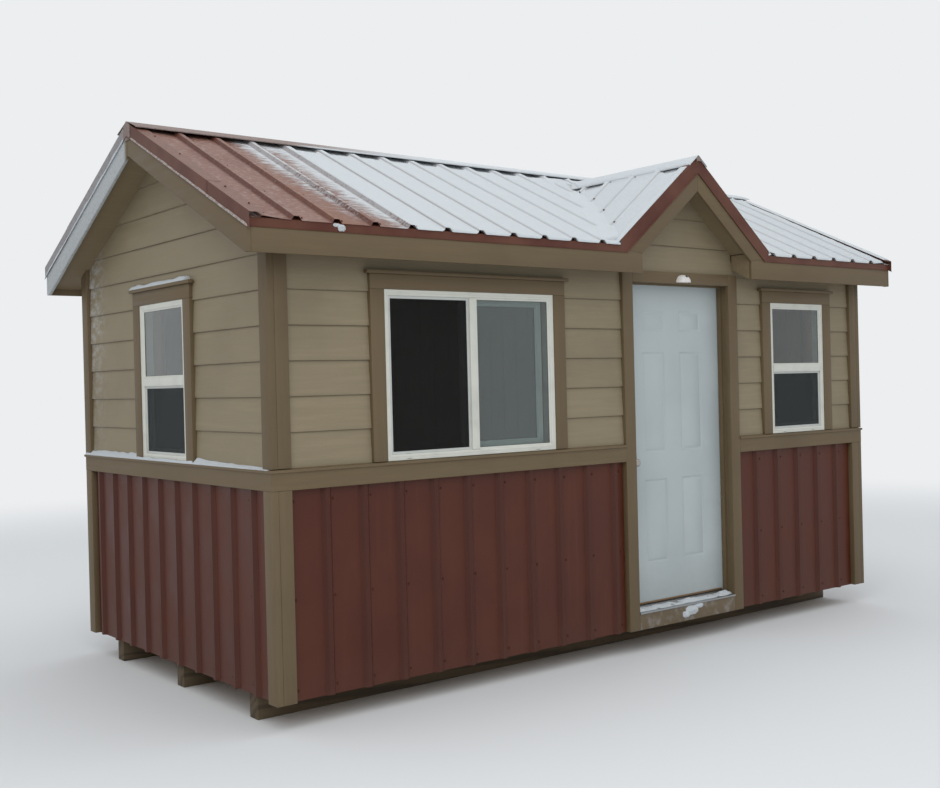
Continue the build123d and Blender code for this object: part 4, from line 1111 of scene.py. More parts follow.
# Windows: welded vinyl frames with tracks and beads, sashes, screens
windowLook = {
    "face": 0.032,
    "mullion": 0.050,
    "setback": 0.006,
    "screenEdge": 0.014,
    "wideSashFace": 0.042,
    "sashFace": 0.034,
    "sashGap": 0.035,
}
frameSection = [(0, -0.070), (0, -0.0008), (0.0008, 0), (0.0155, 0), (0.0165, -0.0018), (0.0185, -0.0018),
                (0.0195, -0.0004), (0.0265, -0.0016), (0.0305, -0.0042), (0.032, -0.0070), (0.032, -0.070)]
trackSection = [(-0.0005, -0.0245), (0.0060, -0.0250), (0.0060, -0.0268), (-0.0005, -0.0272)]
beadSection = [(0, -0.0070), (0.0020, -0.0070), (0.0085, -0.0102), (0.0090, -0.0118), (0, -0.0118)]
glazingSection = [(-0.0004, -0.0490), (0.0022, -0.0496), (0.0022, -0.0509), (-0.0004, -0.0509)]
gasketSection = [(0.0080, -0.0108), (0.0105, -0.0114), (0.0105, -0.0119), (0.0080, -0.0119)]
sashSection = [(0, -0.064), (0, -0.0388), (0.0008, -0.038), (0.019, -0.038), (0.0200, -0.0394),
               (0.0220, -0.0394), (-0.0112, -0.0384), (-0.0040, -0.0430), (-0.0008, -0.0465), (0, -0.0500),
               (0, -0.064)]
screenSection = [(0, -0.020), (0, -0.0126), (0.0006, -0.012), (0.0085, -0.012), (0.0093, -0.0132),
                 (0.0112, -0.0132), (0.0118, -0.0122), (0.0134, -0.0124), (0.014, -0.0132), (0.014, -0.020)]


def makeWindow(name, x, y, width, outward):
    matrix = windowMatrix(x, y, outward) @ Matrix.Translation((0, 0, -windowLook["setback"]))
    half, face, bar, wide = width / 2, windowLook["face"], windowLook["mullion"] / 2, name == "wide"
    clear, top, middle = half - face, windowHeight - face, windowHeight / 2
    frame, sashes, screens = bmesh.new(), bmesh.new(), bmesh.new()
    addRing(frame, (-half, 0), (half, windowHeight), frameSection)
    if wide:
        fixed = ((bar, face), (clear, top))
        screened = ((-clear, face), (-bar, top))
        inner, shut = windowLook["wideSashFace"], clear - windowLook["sashGap"]
        sash = ((shut - clear - bar, face), (shut, top))
        addBoard(frame, (-bar, face, -0.036), (bar, top, -0.0006), 0.002, 0)
        addBoard(frame, (-bar + 0.012, face + 0.004, -0.004), (bar - 0.012, top - 0.004, 0), 0.0015, 0)
        latch = ((shut - 0.028, middle - 0.032), (shut - 0.012, middle + 0.032))
    else:
        fixed = ((-clear, middle + bar), (clear, top))
        screened = ((-clear, face), (clear, middle - bar))
        inner = windowLook["sashFace"]
        sash = ((-clear, face), (clear, middle + bar))
        addBoard(frame, (-clear, middle - bar, -0.036), (clear, middle + bar, -0.0006), 0.002, 0)
        addBoard(frame, (-clear + 0.004, middle - bar + 0.014, -0.004),
                 (clear - 0.004, middle + bar - 0.014, 0), 0.0015, 0)
        latch = ((-0.032, middle + 0.004), (0.032, middle + 0.018))
    addRing(frame, *screened, trackSection)
    addRing(frame, *fixed, beadSection)
    addRing(frame, *fixed, gasketSection, 1)
    for side in (-1, 1):
        spot = side * (half - 0.14)
        addBoard(frame, (spot - 0.017, 0.006, 0), (spot + 0.017, 0.015, 0.0022), 0.0009, 0)
        addBoard(frame, (spot - 0.013, 0.0078, 0.0015), (spot + 0.013, 0.0095, 0.0026), 0.0002, 1)
    addRing(sashes, *sash, [(inset if place < 6 else inset + inner, depth)
                            for place, (inset, depth) in enumerate(sashSection)])
    glazed = ((sash[0][0] + inner, sash[0][1] + inner), (sash[1][0] - inner, sash[1][1] - inner))
    addRing(sashes, *glazed, glazingSection, 1)
    addBoard(sashes, (*latch[0], -0.0385), (*latch[1], -0.0320), 0.002, 0)
    turn = Matrix.Translation(((latch[0][0] + latch[1][0]) / 2, (latch[0][1] + latch[1][1]) / 2, -0.033))
    addTurned(sashes, [(0, 0), (0.0065, 0), (0.0065, 0.004), (0.0055, 0.0055), (0, 0.0055)], turn, 16)
    addRing(screens, *screened, screenSection)
    edge = windowLook["screenEdge"] - 0.001
    (x0, y0), (x1, y1) = screened
    addBoard(screens, (x0 + edge, y0 + edge, -0.0172), (x1 - edge, y1 - edge, -0.0160), 0.0003,
             1 if wide else 2)
    for side in (-1, 1):
        spot = (x0 + x1) / 2 + side * (x1 - x0) * 0.3
        addBoard(screens, (spot - 0.011, y0 + 0.003, -0.0125), (spot + 0.011, y0 + 0.009, -0.0095), 0.0012, 0)
    for shape in (frame, sashes, screens):
        bmesh.ops.transform(shape, matrix=matrix, verts=shape.verts)
    return frame, sashes, screens


def makeWindows():
    joined = [bmesh.new() for kind in range(3)]
    for name, (x, y, width, outward) in windowPlaces.items():
        for whole, made in zip(joined, makeWindow(name, x, y, width, outward)):
            joinShape(whole, made)
    finishPiece("windowFrames", joined[0], [windowVinyl, darkRubber],
                stands=["window_frames"], angle=22)
    finishPiece("windowSashes", joined[1], [sashVinyl, darkRubber],
                stands=["window_sashes"], angle=22)
    finishPiece("windowScreens", joined[2], [screenRail, screenMesh, paleMesh],
                stands=["window_screens"], angle=22)


makeWindows()
print("boards and windows made")


# Door: pressed panels in both faces, mortises for the hinge leaves
doorLook = {
    "panelSteps": [(0.003, -0.0008), (0.005, -0.0042), (0.004, -0.0010), (0.004, 0.0), (0.006, 0.0022),
                   (0.004, 0.0018)],
    "sideStile": 0.174,
    "middleStile": 0.143,
    "rows": ((0.250, 0.787), (0.952, 1.600), (1.728, 1.867)),
    "leafDepth": 0.030,
    "leafThickness": 0.0025,
    "hinges": (0.200, 0.9995, 1.800),
    "hingeLength": 0.089,
}


def makeDoor():
    look = doorLook
    panelWidth = (slabHigh.x - slabLow.x - 2 * look["sideStile"] - look["middleStile"]) / 2
    panels = []
    for foot, head in look["rows"]:
        for side in (-1, 1):
            inner = doorMiddle + side * look["middleStile"] / 2
            outer = inner + side * panelWidth
            panels.append((min(inner, outer), max(inner, outer), slabLow.z + foot, slabLow.z + head))
    xs = {slabLow.x, slabHigh.x, slabHigh.x - look["leafThickness"]}
    zs = {slabLow.z, slabHigh.z}
    for panel in panels:
        xs.update(round(x, 6) for x in panel[:2])
        zs.update(round(z, 6) for z in panel[2:])
    mortises = [(round(slabLow.z + foot, 6), round(slabLow.z + foot + look["hingeLength"], 6))
                for foot in look["hinges"]]
    for mortise in mortises:
        zs.update(mortise)
    xs, zs = sorted(xs), sorted(zs)
    ys = [slabLow.y, slabHigh.y - look["leafDepth"], slabHigh.y]
    shape, verts = bmesh.new(), {}

    def filled(i, j, k):
        if not (0 <= i < len(xs) - 1 and 0 <= j < 2 and 0 <= k < len(zs) - 1):
            return False
        if i == len(xs) - 2 and j == 1:
            middle = (zs[k] + zs[k + 1]) / 2
            return not any(foot < middle < head for foot, head in mortises)
        return True

    def corner(i, j, k):
        if (i, j, k) not in verts:
            verts[i, j, k] = shape.verts.new((xs[i], ys[j], zs[k]))
        return verts[i, j, k]

    sides = (((1, 0, 0), [(1, 0, 0), (1, 1, 0), (1, 1, 1), (1, 0, 1)]),
             ((-1, 0, 0), [(0, 0, 0), (0, 0, 1), (0, 1, 1), (0, 1, 0)]),
             ((0, 1, 0), [(0, 1, 0), (0, 1, 1), (1, 1, 1), (1, 1, 0)]),
             ((0, -1, 0), [(0, 0, 0), (1, 0, 0), (1, 0, 1), (0, 0, 1)]),
             ((0, 0, 1), [(0, 0, 1), (1, 0, 1), (1, 1, 1), (0, 1, 1)]),
             ((0, 0, -1), [(0, 0, 0), (0, 1, 0), (1, 1, 0), (1, 0, 0)]))
    for i in range(len(xs) - 1):
        for j in range(2):
            for k in range(len(zs) - 1):
                if filled(i, j, k):
                    for (di, dj, dk), corners in sides:
                        if not filled(i + di, j + dj, k + dk):
                            shape.faces.new([corner(i + a, j + b, k + c) for a, b, c in corners])
    bmesh.ops.recalc_face_normals(shape, faces=shape.faces)
    for x0, x1, z0, z1 in panels:
        for depth in (slabLow.y, slabHigh.y):
            inside = [face for face in shape.faces if abs(face.normal.y) > 0.9
                      and abs(face.calc_center_median().y - depth) < 1e-4
                      and x0 < face.calc_center_median().x < x1 and z0 < face.calc_center_median().z < z1]
            if len(inside) > 1:
                inside = bmesh.ops.dissolve_faces(shape, faces=inside, use_verts=False)["region"]
            for thickness, sink in look["panelSteps"]:
                bmesh.ops.inset_region(shape, faces=inside, thickness=thickness, depth=sink,
                                       use_even_offset=True, use_boundary=True)
    finishPiece("doorSlab", shape, [doorPaint], body="door", stands=["door_slab"],
                angle=28)


makeDoor()


# Knob and rose on both faces
knobLook = {
    "profile": [(0, 0), (0.0305, 0), (0.0310, 0.0012), (0.0295, 0.0036), (0.0150, 0.0060), (0.0115, 0.0085),
                (0.0110, 0.0200), (0.0125, 0.0250), (0.0180, 0.0300), (0.0235, 0.0360), (0.0260, 0.0440),
                (0.0250, 0.0520), (0.0200, 0.0572), (0.0120, 0.0592), (0.0100, 0.0588), (0, 0.0592)],
    "low": (0.1365, 1.175),
}


def makeKnobs():
    shape = bmesh.new()
    x, z = knobLook["low"]
    for y, tilt in ((slabLow.y, math.pi / 2), (slabHigh.y, -math.pi / 2)):
        place = Matrix.Translation((x, y, z)) @ Matrix.Rotation(tilt, 4, "X")
        addTurned(shape, knobLook["profile"], place, 40)
    finishPiece("doorKnobs", shape, [satinSteel], body="door", stands=["door_knobs"],
                angle=40)
    shape = bmesh.new()
    addBoard(shape, (slabLow.x - 0.0002, slabLow.y + 0.009, z - 0.0285),
             (slabLow.x + 0.002, slabLow.y + 0.035, z + 0.0285), 0.0002, 0)
    addBoard(shape, (slabLow.x - 0.0035, slabLow.y + 0.0155, z - 0.012),
             (slabLow.x + 0.004, slabLow.y + 0.0285, z + 0.012), 0.0015, 0)
    finishPiece("latchBolt", shape, [satinSteel], body="door")


makeKnobs()


# Brown sweep along the door's foot, screws in the hinge leaves, strike plate on the jamb
def makeDoorTrimmings():
    shape = bmesh.new()
    addBoard(shape, (slabLow.x + 0.014, slabLow.y - 0.0012, slabLow.z + 0.0005),
             (slabHigh.x - 0.014, slabLow.y + 0.001, slabLow.z + 0.012), 0.0005, 0)
    finishPiece("doorSweep", shape, [sweepBrown], body="door")
    doorShape, jambShape = bmesh.new(), bmesh.new()
    for foot in doorLook["hinges"]:
        for number in range(3):
            z = slabLow.z + foot + 0.016 + number * 0.0285
            y = slabHigh.y - 0.011 - 0.007 * (number % 2)
            addScrew(doorShape, (slabHigh.x - 0.0002, y, z), (1, 0, 0), hingeScrewProfile, 14)
            addScrew(jambShape, (jambRight + 0.0002, y, z), (-1, 0, 0), hingeScrewProfile, 14)
    finishPiece("hingeDoorScrews", doorShape, [millMetal], body="door")
    z = knobLook["low"][1]
    addBoard(jambShape, (jambLeft - 0.001, slabLow.y + 0.008, z - 0.028),
             (jambLeft + 0.0012, slabLow.y + 0.036, z + 0.028), 0.0004, 0)
    addBoard(jambShape, (jambLeft, slabLow.y + 0.014, z - 0.013),
             (jambLeft + 0.0014, slabLow.y + 0.030, z + 0.013), 0.0002, 1)
    finishPiece("jambHardware", jambShape, [millMetal, darkRubber])


# Porch light: half dome on a thin base, with a dusk sensor near its top
lampLook = {
    "rings": ((1.0, 0.0), (1.0, 0.10), (0.985, 0.22), (0.94, 0.42), (0.86, 0.62), (0.74, 0.79), (0.58, 0.91),
              (0.38, 0.975), (0.18, 0.998)),
    "wide": 0.80,
    "tall": 0.72,
    "steps": 28,
    "sensor": [(0, -0.004), (0.0085, -0.004), (0.0085, 0.0005), (0.0070, 0.0014), (0, 0.0018)],
}


def makeLamp():
    shape = bmesh.new()
    low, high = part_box("porch_light")
    radius, reach = (high.x - low.x) / 2, high.y - low.y
    wide, tall = radius * lampLook["wide"], radius * lampLook["tall"]
    steps, rings = lampLook["steps"], []
    for part, out in lampLook["rings"]:
        ring = []
        for step in range(steps + 1):
            turn = math.pi * step / steps
            ring.append(shape.verts.new((doorMiddle + wide * part * math.cos(turn), high.y - reach * out,
                                         low.z + tall * part * math.sin(turn))))
        rings.append(ring)
    tip = shape.verts.new((doorMiddle, high.y - reach, low.z))
    for near, far in zip(rings, rings[1:]):
        for step in range(steps):
            shape.faces.new((near[step], near[step + 1], far[step + 1], far[step]))
    for step in range(steps):
        shape.faces.new((rings[-1][step], rings[-1][step + 1], tip))
    shape.faces.new(rings[0])
    flat = [ring[0] for ring in rings] + [tip] + [ring[-1] for ring in reversed(rings)]
    under = shape.faces.new(flat)
    bmesh.ops.recalc_face_normals(shape, faces=shape.faces)
    bmesh.ops.inset_region(shape, faces=[under], thickness=0.004, depth=-0.003, use_even_offset=True)
    under.material_index = 1
    spot = Vector((doorMiddle, high.y - reach * 0.80, low.z + tall * 0.735))
    lean = Matrix.Translation(spot) @ Matrix.Rotation(math.radians(52), 4, "X")
    addTurned(shape, lampLook["sensor"], lean, 20, 2)
    finishPiece("porchLight", shape, [lampPlastic, lampLens, darkRubber],
                stands=["porch_light"], angle=35)


makeLamp()


# Threshold: ribs to wipe feet on and a drip nose over the apron board
threshold = {"fall": 0.020, "ribs": 7, "ribFrom": 0.014, "ribPitch": 0.0085, "ribDepth": 0.0014}


def makeThreshold():
    shape = bmesh.new()
    core, inner = frontFace + boardThickness, sillHigh.y
    top, nose, slab = sillHigh.z, sillLow.y, slabLow.y
    fall = threshold["fall"] / (slab - nose)

    def surface(y):
        return top - fall * (slab - y)

    outline = [(core, floorTop), (inner, floorTop), (inner, top - 0.001), (inner - 0.001, top), (slab, top)]
    for number in range(threshold["ribs"]):
        y = slab - threshold["ribFrom"] - number * threshold["ribPitch"]
        low = surface(y) - threshold["ribDepth"]
        outline += [(y, surface(y)), (y - 0.0015, low), (y - 0.0045, low), (y - 0.0060, surface(y - 0.006))]
    outline += [(core, surface(core))]
    addPrism(shape, [(jambLeft, y, z) for y, z in outline], (jambRight - jambLeft, 0, 0))
    outline = [(nose, apronTop), (core, apronTop), (core, surface(core)), (nose + 0.002, surface(nose)),
               (nose, surface(nose) - 0.002)]
    addPrism(shape, [(casingLeft, y, z) for y, z in outline], (casingRight - casingLeft, 0, 0))
    finishPiece("threshold", shape, [millMetal], stands=["door_sill"], angle=25)


makeThreshold()
print("door and fittings made")


# Sheet-metal screws with washers: in rows beside the ribs, along the rake trims and at the dormer's ribs
screws = {
    "washer": 0.0075,
    "head": 0.0045,
    "rise": 0.0062,
    "clear": 0.0003,
    "beside": 0.044,
    "roofBeside": 0.045,
    "wallRows": (wallFoot + 0.05, wallFoot + 0.50, beltFoot - 0.06),
    "roofRows": (0.19, 0.60, 1.00, 1.365),
    "rakeRows": (0.24, 0.55, 1.06, 1.30),
    "onFlange": 0.060,
    "margin": 0.02,
    "backMargin": 0.134,
}
screwProfile = [(0.0, 0.0), (screws["washer"], 0.0), (screws["washer"] * 0.92, 0.0014),
                (screws["head"], 0.0020), (screws["head"], screws["rise"]), (0.0, screws["rise"])]
hingeScrewProfile = [(0.0, -0.0004), (0.0032, -0.0004), (0.0032, 0.0001), (0.0022, 0.0004), (0.0, 0.0002)]


def addScrew(shape, spot, normal, profile=screwProfile, steps=6):
    normal = Vector(normal).normalized()
    turn = normal.to_track_quat("Z", "Y").to_matrix().to_4x4()
    lift = Vector(spot) + normal * screws["clear"]
    addTurned(shape, profile, Matrix.Translation(lift) @ turn, steps)


def makeScrews():
    shape = bmesh.new()
    margin, backMargin = screws["margin"], screws["backMargin"]
    sheetFace = frontFace + boardThickness - metal["sheet"]
    cornerReach = boards["corner"] + boardThickness
    panels = ((leftFace + cornerReach, trimLow.x), (trimHigh.x, rightFace - cornerReach))
    for number in range(-1, 21):
        beside = wallRibFirst + number * ribPitch + screws["beside"]
        for z in screws["wallRows"]:
            if any(low + margin < beside < high - margin for low, high in panels):
                addScrew(shape, (beside, sheetFace, z), (0, -1, 0))
            if leftFace + backMargin < beside < rightFace - backMargin:
                addScrew(shape, (beside, -sheetFace, z), (0, 1, 0))
    for number in range(-1, 11):
        y = gableRibFirst + number * ribPitch + screws["beside"]
        if frontFace + boardWidth + margin < y < backFace - boardWidth - margin:
            sheetSide = rightFace - boardThickness + metal["sheet"]
            for z in screws["wallRows"]:
                for side in (-1, 1):
                    addScrew(shape, (side * sheetSide, y, z), (side, 0, 0))
    finishPiece("wallScrews", shape, [wallMetalX], angle=35)
    shape = bmesh.new()
    for number in range(metal["ribs"]):
        x = ribFirst + number * ribPitch + screws["roofBeside"]
        for side in (-1, 1):
            for away in screws["roofRows"]:
                under = abs(x - doorMiddle) < (away - valleyApex) * valleyRun + 0.03 and side < 0
                if not under:
                    rise = sheetFoot + roofLift(away) + edgeRise(x, away) + metal["sheet"]
                    addScrew(shape, (x, side * away, roofZ(away, rise)), (0, side * roofSlope, 1))
    for number in range(1, 4):
        y = dormerRibFirst + number * ribPitch - 0.021
        for side in (-1, 1):
            x = doorMiddle + side * ((-y - valleyApex) * valleyRun - 0.057)
            addScrew(shape, (x, y, dormerZ(x, sheetFoot + 0.014)), (side * dormerSlope, 0, 1))
    for edge, inward in ((gableX, 1), (-gableX, -1)):
        for side in (-1, 1):
            for away in screws["rakeRows"]:
                spot = (edge + inward * screws["onFlange"], side * away, roofZ(away, rakeTop(away)))
                addScrew(shape, spot, (0, side * roofSlope, 1))
    finishPiece("roofScrews", shape, [redTrim], angle=35)


makeScrews()
makeDoorTrimmings()


# Snow: closed sheets that thin out to nothing at their rims. Depths in metres
snowLook = {
    "firstBay": 3,
    "bay": ((-0.012, 0), (-0.009, 0.0025), (0, 0.0040), (0.010, 0.0050), (0.0155, 0.0070), (0.022, 0.0105),
            (0.032, 0.0130), (0.050, 0.0110), (0.075, 0.0100), (0.100, 0.0100), (0.125, 0.0100),
            (0.150, 0.0100), (0.178, 0.0090), (0.188, 0.0070), (0.2035, 0.0050), (0.2095, 0)),
    "lastBay": ((0.145, 0.0100), (0.152, 0.0080), (0.156, 0)),
    "flange": ((-0.0298, 0), (-0.028, 0.003), (-0.020, 0.005), (0, 0.006), (0.018, 0.006), (0.0245, 0.006),
               (0.028, 0.019), (0.034, 0.018), (0.050, 0.014), (0.075, 0.011)),
    "rakeFlange": ((0, 0), (0.004, 0.003), (0.025, 0.006), (0.060, 0.006), (0.074, 0.004), (0.0772, 0)),
    "valley": ((-0.055, 0), (-0.045, 0.008), (-0.030, 0.018), (-0.010, 0.029), (0.020, 0.035), (0.055, 0.028),
               (0.095, 0.017), (0.130, 0.008), (0.150, 0)),
    "valleyEnds": (eaveY + 0.030, -0.385),
    "capLegs": ((0.003, 0), (0.010, 0.0012), (0.030, 0.0035), (0.070, 0.0050), (0.105, 0.0055),
                (0.122, 0.0045), (0.1295, 0)),
    "capEnds": (-0.62, -gableX + 0.012),
    "dormerCapShare": 0.6,
    "ridgeStart": 0.1315,
    "bank": 0.0165,
    "onSheet": 0.0014,
    "onCap": 0.0003,
    "bottomDepth": 0.0004,
}
rimSteps = (0, 0.003, 0.008, 0.016)


def addSnow(shape, columns, up=Vector((0, 0, 1))):
    grid = []
    for place, column in enumerate(columns):
        line = []
        for row, (spot, depth) in enumerate(column):
            low = shape.verts.new(spot)
            bare = depth <= 0 or place in (0, len(columns) - 1) or row in (0, len(column) - 1)
            line.append((low, low if bare else shape.verts.new(Vector(spot) + up * depth)))
        grid.append(line)
    for near, far in zip(grid, grid[1:]):
        for row in range(len(near) - 1):
            corners = (near[row], far[row], far[row + 1], near[row + 1])
            if any(low is not high for low, high in corners):
                shape.faces.new([low for low, high in corners])
                shape.faces.new([high for low, high in reversed(corners)])


def finishSnow(name, shape, material=snow):
    loose = [vert for vert in shape.verts if not vert.link_faces]
    bmesh.ops.delete(shape, geom=loose, context="VERTS")
    finishPiece(name, shape, [material], angle=60)


def rowsBetween(start, end, count):
    near = rimSteps[-1]
    rows = [start + step for step in rimSteps]
    rows += [start + near + (end - start - 2 * near) * (number + 1) / count for number in range(count - 1)]
    return rows + [end - step for step in reversed(rimSteps)]


def rimShare(value, start, end):
    inward = clamp(min((value - start) / rimSteps[-1], (end - value) / rimSteps[-1]))
    return math.sqrt(inward * (2 - inward))


def uneven(spot, scale, amount):
    return 1 + amount * noise.noise(Vector(spot) * scale)


def fromRib(offset):
    return min(abs(offset), abs(offset - ribPitch))


def ribRise(offset):
    return snowLook["onSheet"] + metal["ribHeight"] * clamp((0.030 - fromRib(offset)) / 0.0175)


def easeBetween(value, low, high):
    share = clamp((value - low) / (high - low))
    return share * share * (3 - 2 * share)


# Main slopes, one strip a bay from the crest of a rib to the steep side of the next
def makeRoofSnow():
    shape = bmesh.new()
    look, ribs = snowLook, metal["ribs"]
    for number in range(look["firstBay"], ribs):
        rib = ribFirst + number * ribPitch
        depths = look["bay"]
        if number == ribs - 1:
            depths = [pair for pair in look["bay"] if pair[0] < 0.14] + list(look["lastBay"])
        for side in (-1, 1):
            columns = []
            for offset, depth in depths:
                x = rib + offset
                bank = easeBetween(x, 0.0, 0.5) if side < 0 else 0.0
                gap = 0.022 * easeBetween(fromRib(offset), 0.024, 0.060) * uneven((x, side, 5), 13, 0.4)
                start = look["ridgeStart"] + gap * (1 - bank) - 0.004 * bank
                end = sheetEnd + 0.003 + 0.004 * noise.noise(Vector((x * 31, side, 0)))
                if side < 0:
                    beside = abs(x - doorMiddle)
                    lap = 0.08 * easeBetween(beside, 0.08, 0.2)
                    end = min(end, valleyApex + beside / valleyRun - 0.05 + lap)
                    end = max(end, start + 0.034)
                column = []
                for away in rowsBetween(start, end, 34):
                    rise = sheetFoot + roofLift(away) + ribRise(offset) + edgeRise(x, away)
                    spot = Vector((x, side * away, roofZ(away, rise)))
                    thick = depth * rimShare(away, start, end) * uneven(spot, 9, 0.35)
                    thick *= uneven(spot, 45, 0.25)
                    if depth > 0.006:
                        thick = max(thick, bank * look["bank"] * math.exp((0.13 - away) / 0.05))
                    if number == look["firstBay"]:
                        thick *= 1 - 0.65 * easeBetween(away, 1.0, 1.36)
                    column.append((spot, max(thick, look["bottomDepth"]) * roofSpread if depth else 0))
                columns.append(column)
            addSnow(shape, columns)
    for side in (-1, 1):
        columns = []
        for offset, depth in look["rakeFlange"]:
            x = -gableX - 0.0775 + offset
            column = []
            for away in rowsBetween(look["ridgeStart"], sheetEnd, 34):
                spot = Vector((x, side * away, roofZ(away, rakeTop(away) + 0.0018)))
                thick = depth * rimShare(away, look["ridgeStart"], sheetEnd) * uneven(spot, 12, 0.5)
                column.append((spot, max(thick, 0.0003) * roofSpread))
            columns.append(column)
        addSnow(shape, columns)
    finishSnow("roofSnow", shape)


# The dormer's slopes, banked against its ridge cap except close to the valley
def makeDormerSnow():
    shape = bmesh.new()
    look = snowLook
    for number in range(4):
        rib = dormerRibFirst + number * ribPitch
        depths = list(look["bay"])
        if number == 0:
            depths = list(look["flange"]) + [pair for pair in look["bay"] if pair[0] > 0.08]
        for side in (-1, 1):
            columns = []
            for offset, depth in depths:
                y = rib + offset
                onFlange = number == 0 and offset < 0.025
                rise = 0.0216 if onFlange else ribRise(offset)
                parted = max(easeBetween(y, -0.66, -0.58), 1 - easeBetween(y, -1.24, -1.14))
                start = 0.0745 + 0.021 * parted
                end = max((-y - valleyApex) * valleyRun + 0.0185, start + 0.040)
                column = []
                for away in rowsBetween(start, end, 16):
                    x = doorMiddle + side * away
                    spot = Vector((x, y, dormerZ(x, sheetFoot + rise)))
                    thick = depth * rimShare(away, start, end) * uneven(spot, 9, 0.3) * uneven(spot, 45, 0.2)
                    if depth > 0.006 and not onFlange:
                        thick = max(thick, (1 - parted) * look["bank"] * math.exp((0.078 - away) / 0.035))
                    column.append((spot, max(thick, look["bottomDepth"]) * dormerSpread if depth else 0))
                columns.append(column)
            addSnow(shape, columns)
    finishSnow("dormerSnow", shape)


# Both valleys filled level over the ribs' ends
def makeValleySnow():
    shape = bmesh.new()
    low, high = snowLook["valleyEnds"]
    onSheet = sheetFoot + snowLook["onSheet"]
    for side in (-1, 1):
        columns = []
        for offset, depth in snowLook["valley"]:
            column = []
            for y in rowsBetween(low, high, 30):
                half = (-y - valleyApex) * valleyRun
                across = half + (offset * min(1, half / 0.3) if offset < 0 else offset)
                x = doorMiddle + side * across
                z = max(roofZ(y, onSheet + roofLift(-y)), dormerZ(x, onSheet))
                thick = depth * rimShare(y, low, high) * uneven((x, y, z), 8, 0.25)
                thick *= min(1, 0.45 + half / 0.5) * uneven((x, y, z), 40, 0.12)
                column.append((Vector((x, y, z)), max(thick, snowLook["bottomDepth"])))
            columns.append(column)
        addSnow(shape, columns)
        # A small bank where the dormer's cap meets the main one
        columns = []
        for across in range(13):
            wide = across / 6 - 1
            column = []
            for along in range(11):
                deep = along / 5 - 1
                x, away = doorMiddle + side * (0.150 + 0.085 * wide), 0.225 + 0.095 * deep
                bump = max(0.0, 1 - wide * wide) * max(0.0, 1 - deep * deep)
                column.append((Vector((x, -away, roofZ(away, onSheet))), 0.030 * bump ** 0.6))
            columns.append(column)
        addSnow(shape, columns)
    finishSnow("valleySnow", shape)


# Ridge caps: snow on their legs, none at the fold
def makeCapSnow():
    shape = bmesh.new()
    low, high = snowLook["capEnds"]
    onCap = capTop + snowLook["onCap"]
    for side in (-1, 1):
        columns = []
        for away, depth in snowLook["capLegs"]:
            column = []
            for x in rowsBetween(low, high, 60):
                spot = Vector((x, side * away, roofZ(away, onCap + capSpring(away))))
                thick = depth * rimShare(x, low, high) * uneven(spot, 11, 0.5)
                thick *= 0.25 + 0.75 * easeBetween(x, -0.6, 0.3)
                column.append((spot, max(thick, 0.0003) * roofSpread))
            columns.append(column)
        addSnow(shape, columns)
        columns = []
        for away, depth in snowLook["capLegs"]:
            away *= snowLook["dormerCapShare"]
            x = doorMiddle + side * away
            start, end = eaveY - 0.0135, -valleyApex - away / valleyRun - 0.025
            column = []
            for y in rowsBetween(start, end, 24):
                spot = Vector((x, y, dormerZ(x, onCap)))
                thick = depth * rimShare(y, start, end) * uneven(spot, 11, 0.5)
                column.append((spot, max(thick, 0.0003) * dormerSpread))
            columns.append(column)
        addSnow(shape, columns)
    finishSnow("ridgeSnow", shape)


# Drifts on the lips of the left rake trim, on the left window's cap and along the left ledge
def addDrift(shape, low, high, count, across, place):
    columns = []
    for offset, depth in across:
        column = []
        for along in rowsBetween(low, high, count):
            spot, share = place(offset, along)
            thick = depth * share * rimShare(along, low, high) * uneven(spot, 11, 0.45)
            column.append((spot, max(thick, 0.0002)))
        columns.append(column)
    addSnow(shape, columns)


drifts = {
    "rake": ((0, 0), (0.0012, 0.003), (0.003, 0.006), (0.0055, 0.009), (0.0064, 0)),
    "rakeBack": 2.2,
    "cap": ((0, 0), (0.004, 0.010), (0.012, 0.019), (0.022, 0.024), (0.032, 0.025), (0.040, 0.024),
            (0.0415, 0)),
    "wideLedge": ((0, 0), (0.003, 0.007), (0.009, 0.013), (0.016, 0.019), (0.023, 0.025), (0.0260, 0.026),
                  (0.0262, 0)),
    "slimLedge": ((0, 0), (0.002, 0.005), (0.0045, 0.010), (0.0066, 0.014), (0.0072, 0)),
}


def makeDrifts():
    shape = bmesh.new()
    lip = gableX - 0.0078
    for side in (-1, 1):
        tall = 1 if side < 0 else drifts["rakeBack"]

        def onLip(offset, away):
            z = roofZ(away, rakeTop(away) - metal["face"] - 0.0036 + offset * 0.5)
            return (lip + offset, side * away, z), 1

        addDrift(shape, 0.05, sheetEnd, 60, [(out, depth * tall) for out, depth in drifts["rake"]], onLip)
        if side < 0:
            finishSnow("rakeSlush", shape, slush)
            shape = bmesh.new()
    capZ = beltTop + windowHeight + boards["windowHead"] + boards["capHeight"] + 0.0003
    nose, middle = leftFace - boards["capNose"] + 0.001, windowPlaces["leftGable"][1]
    addDrift(shape, middle - 0.355, middle + 0.411, 40, drifts["cap"],
             lambda offset, y: ((nose + offset, y, capZ), 1))
    ledgeNose = leftFace - 0.0076
    half = windowPlaces["leftGable"][2] / 2 + boardWidth

    def onLedge(offset, y):
        z = beltTop - 0.0057 + 0.006 * offset / 0.027
        return (ledgeNose + offset, y, z), 0.25 + 0.75 * easeBetween(y, -1.2, -0.3)

    for low, high, across in ((middle + half + 0.001, backFace - 0.004, "wideLedge"),
                              (frontFace + 0.03, middle - half - 0.001, "wideLedge"),
                              (middle - half + 0.001, middle + half - 0.001, "slimLedge")):
        addDrift(shape, low, high, 36, drifts[across], onLedge)
    finishSnow("snowDrifts", shape)


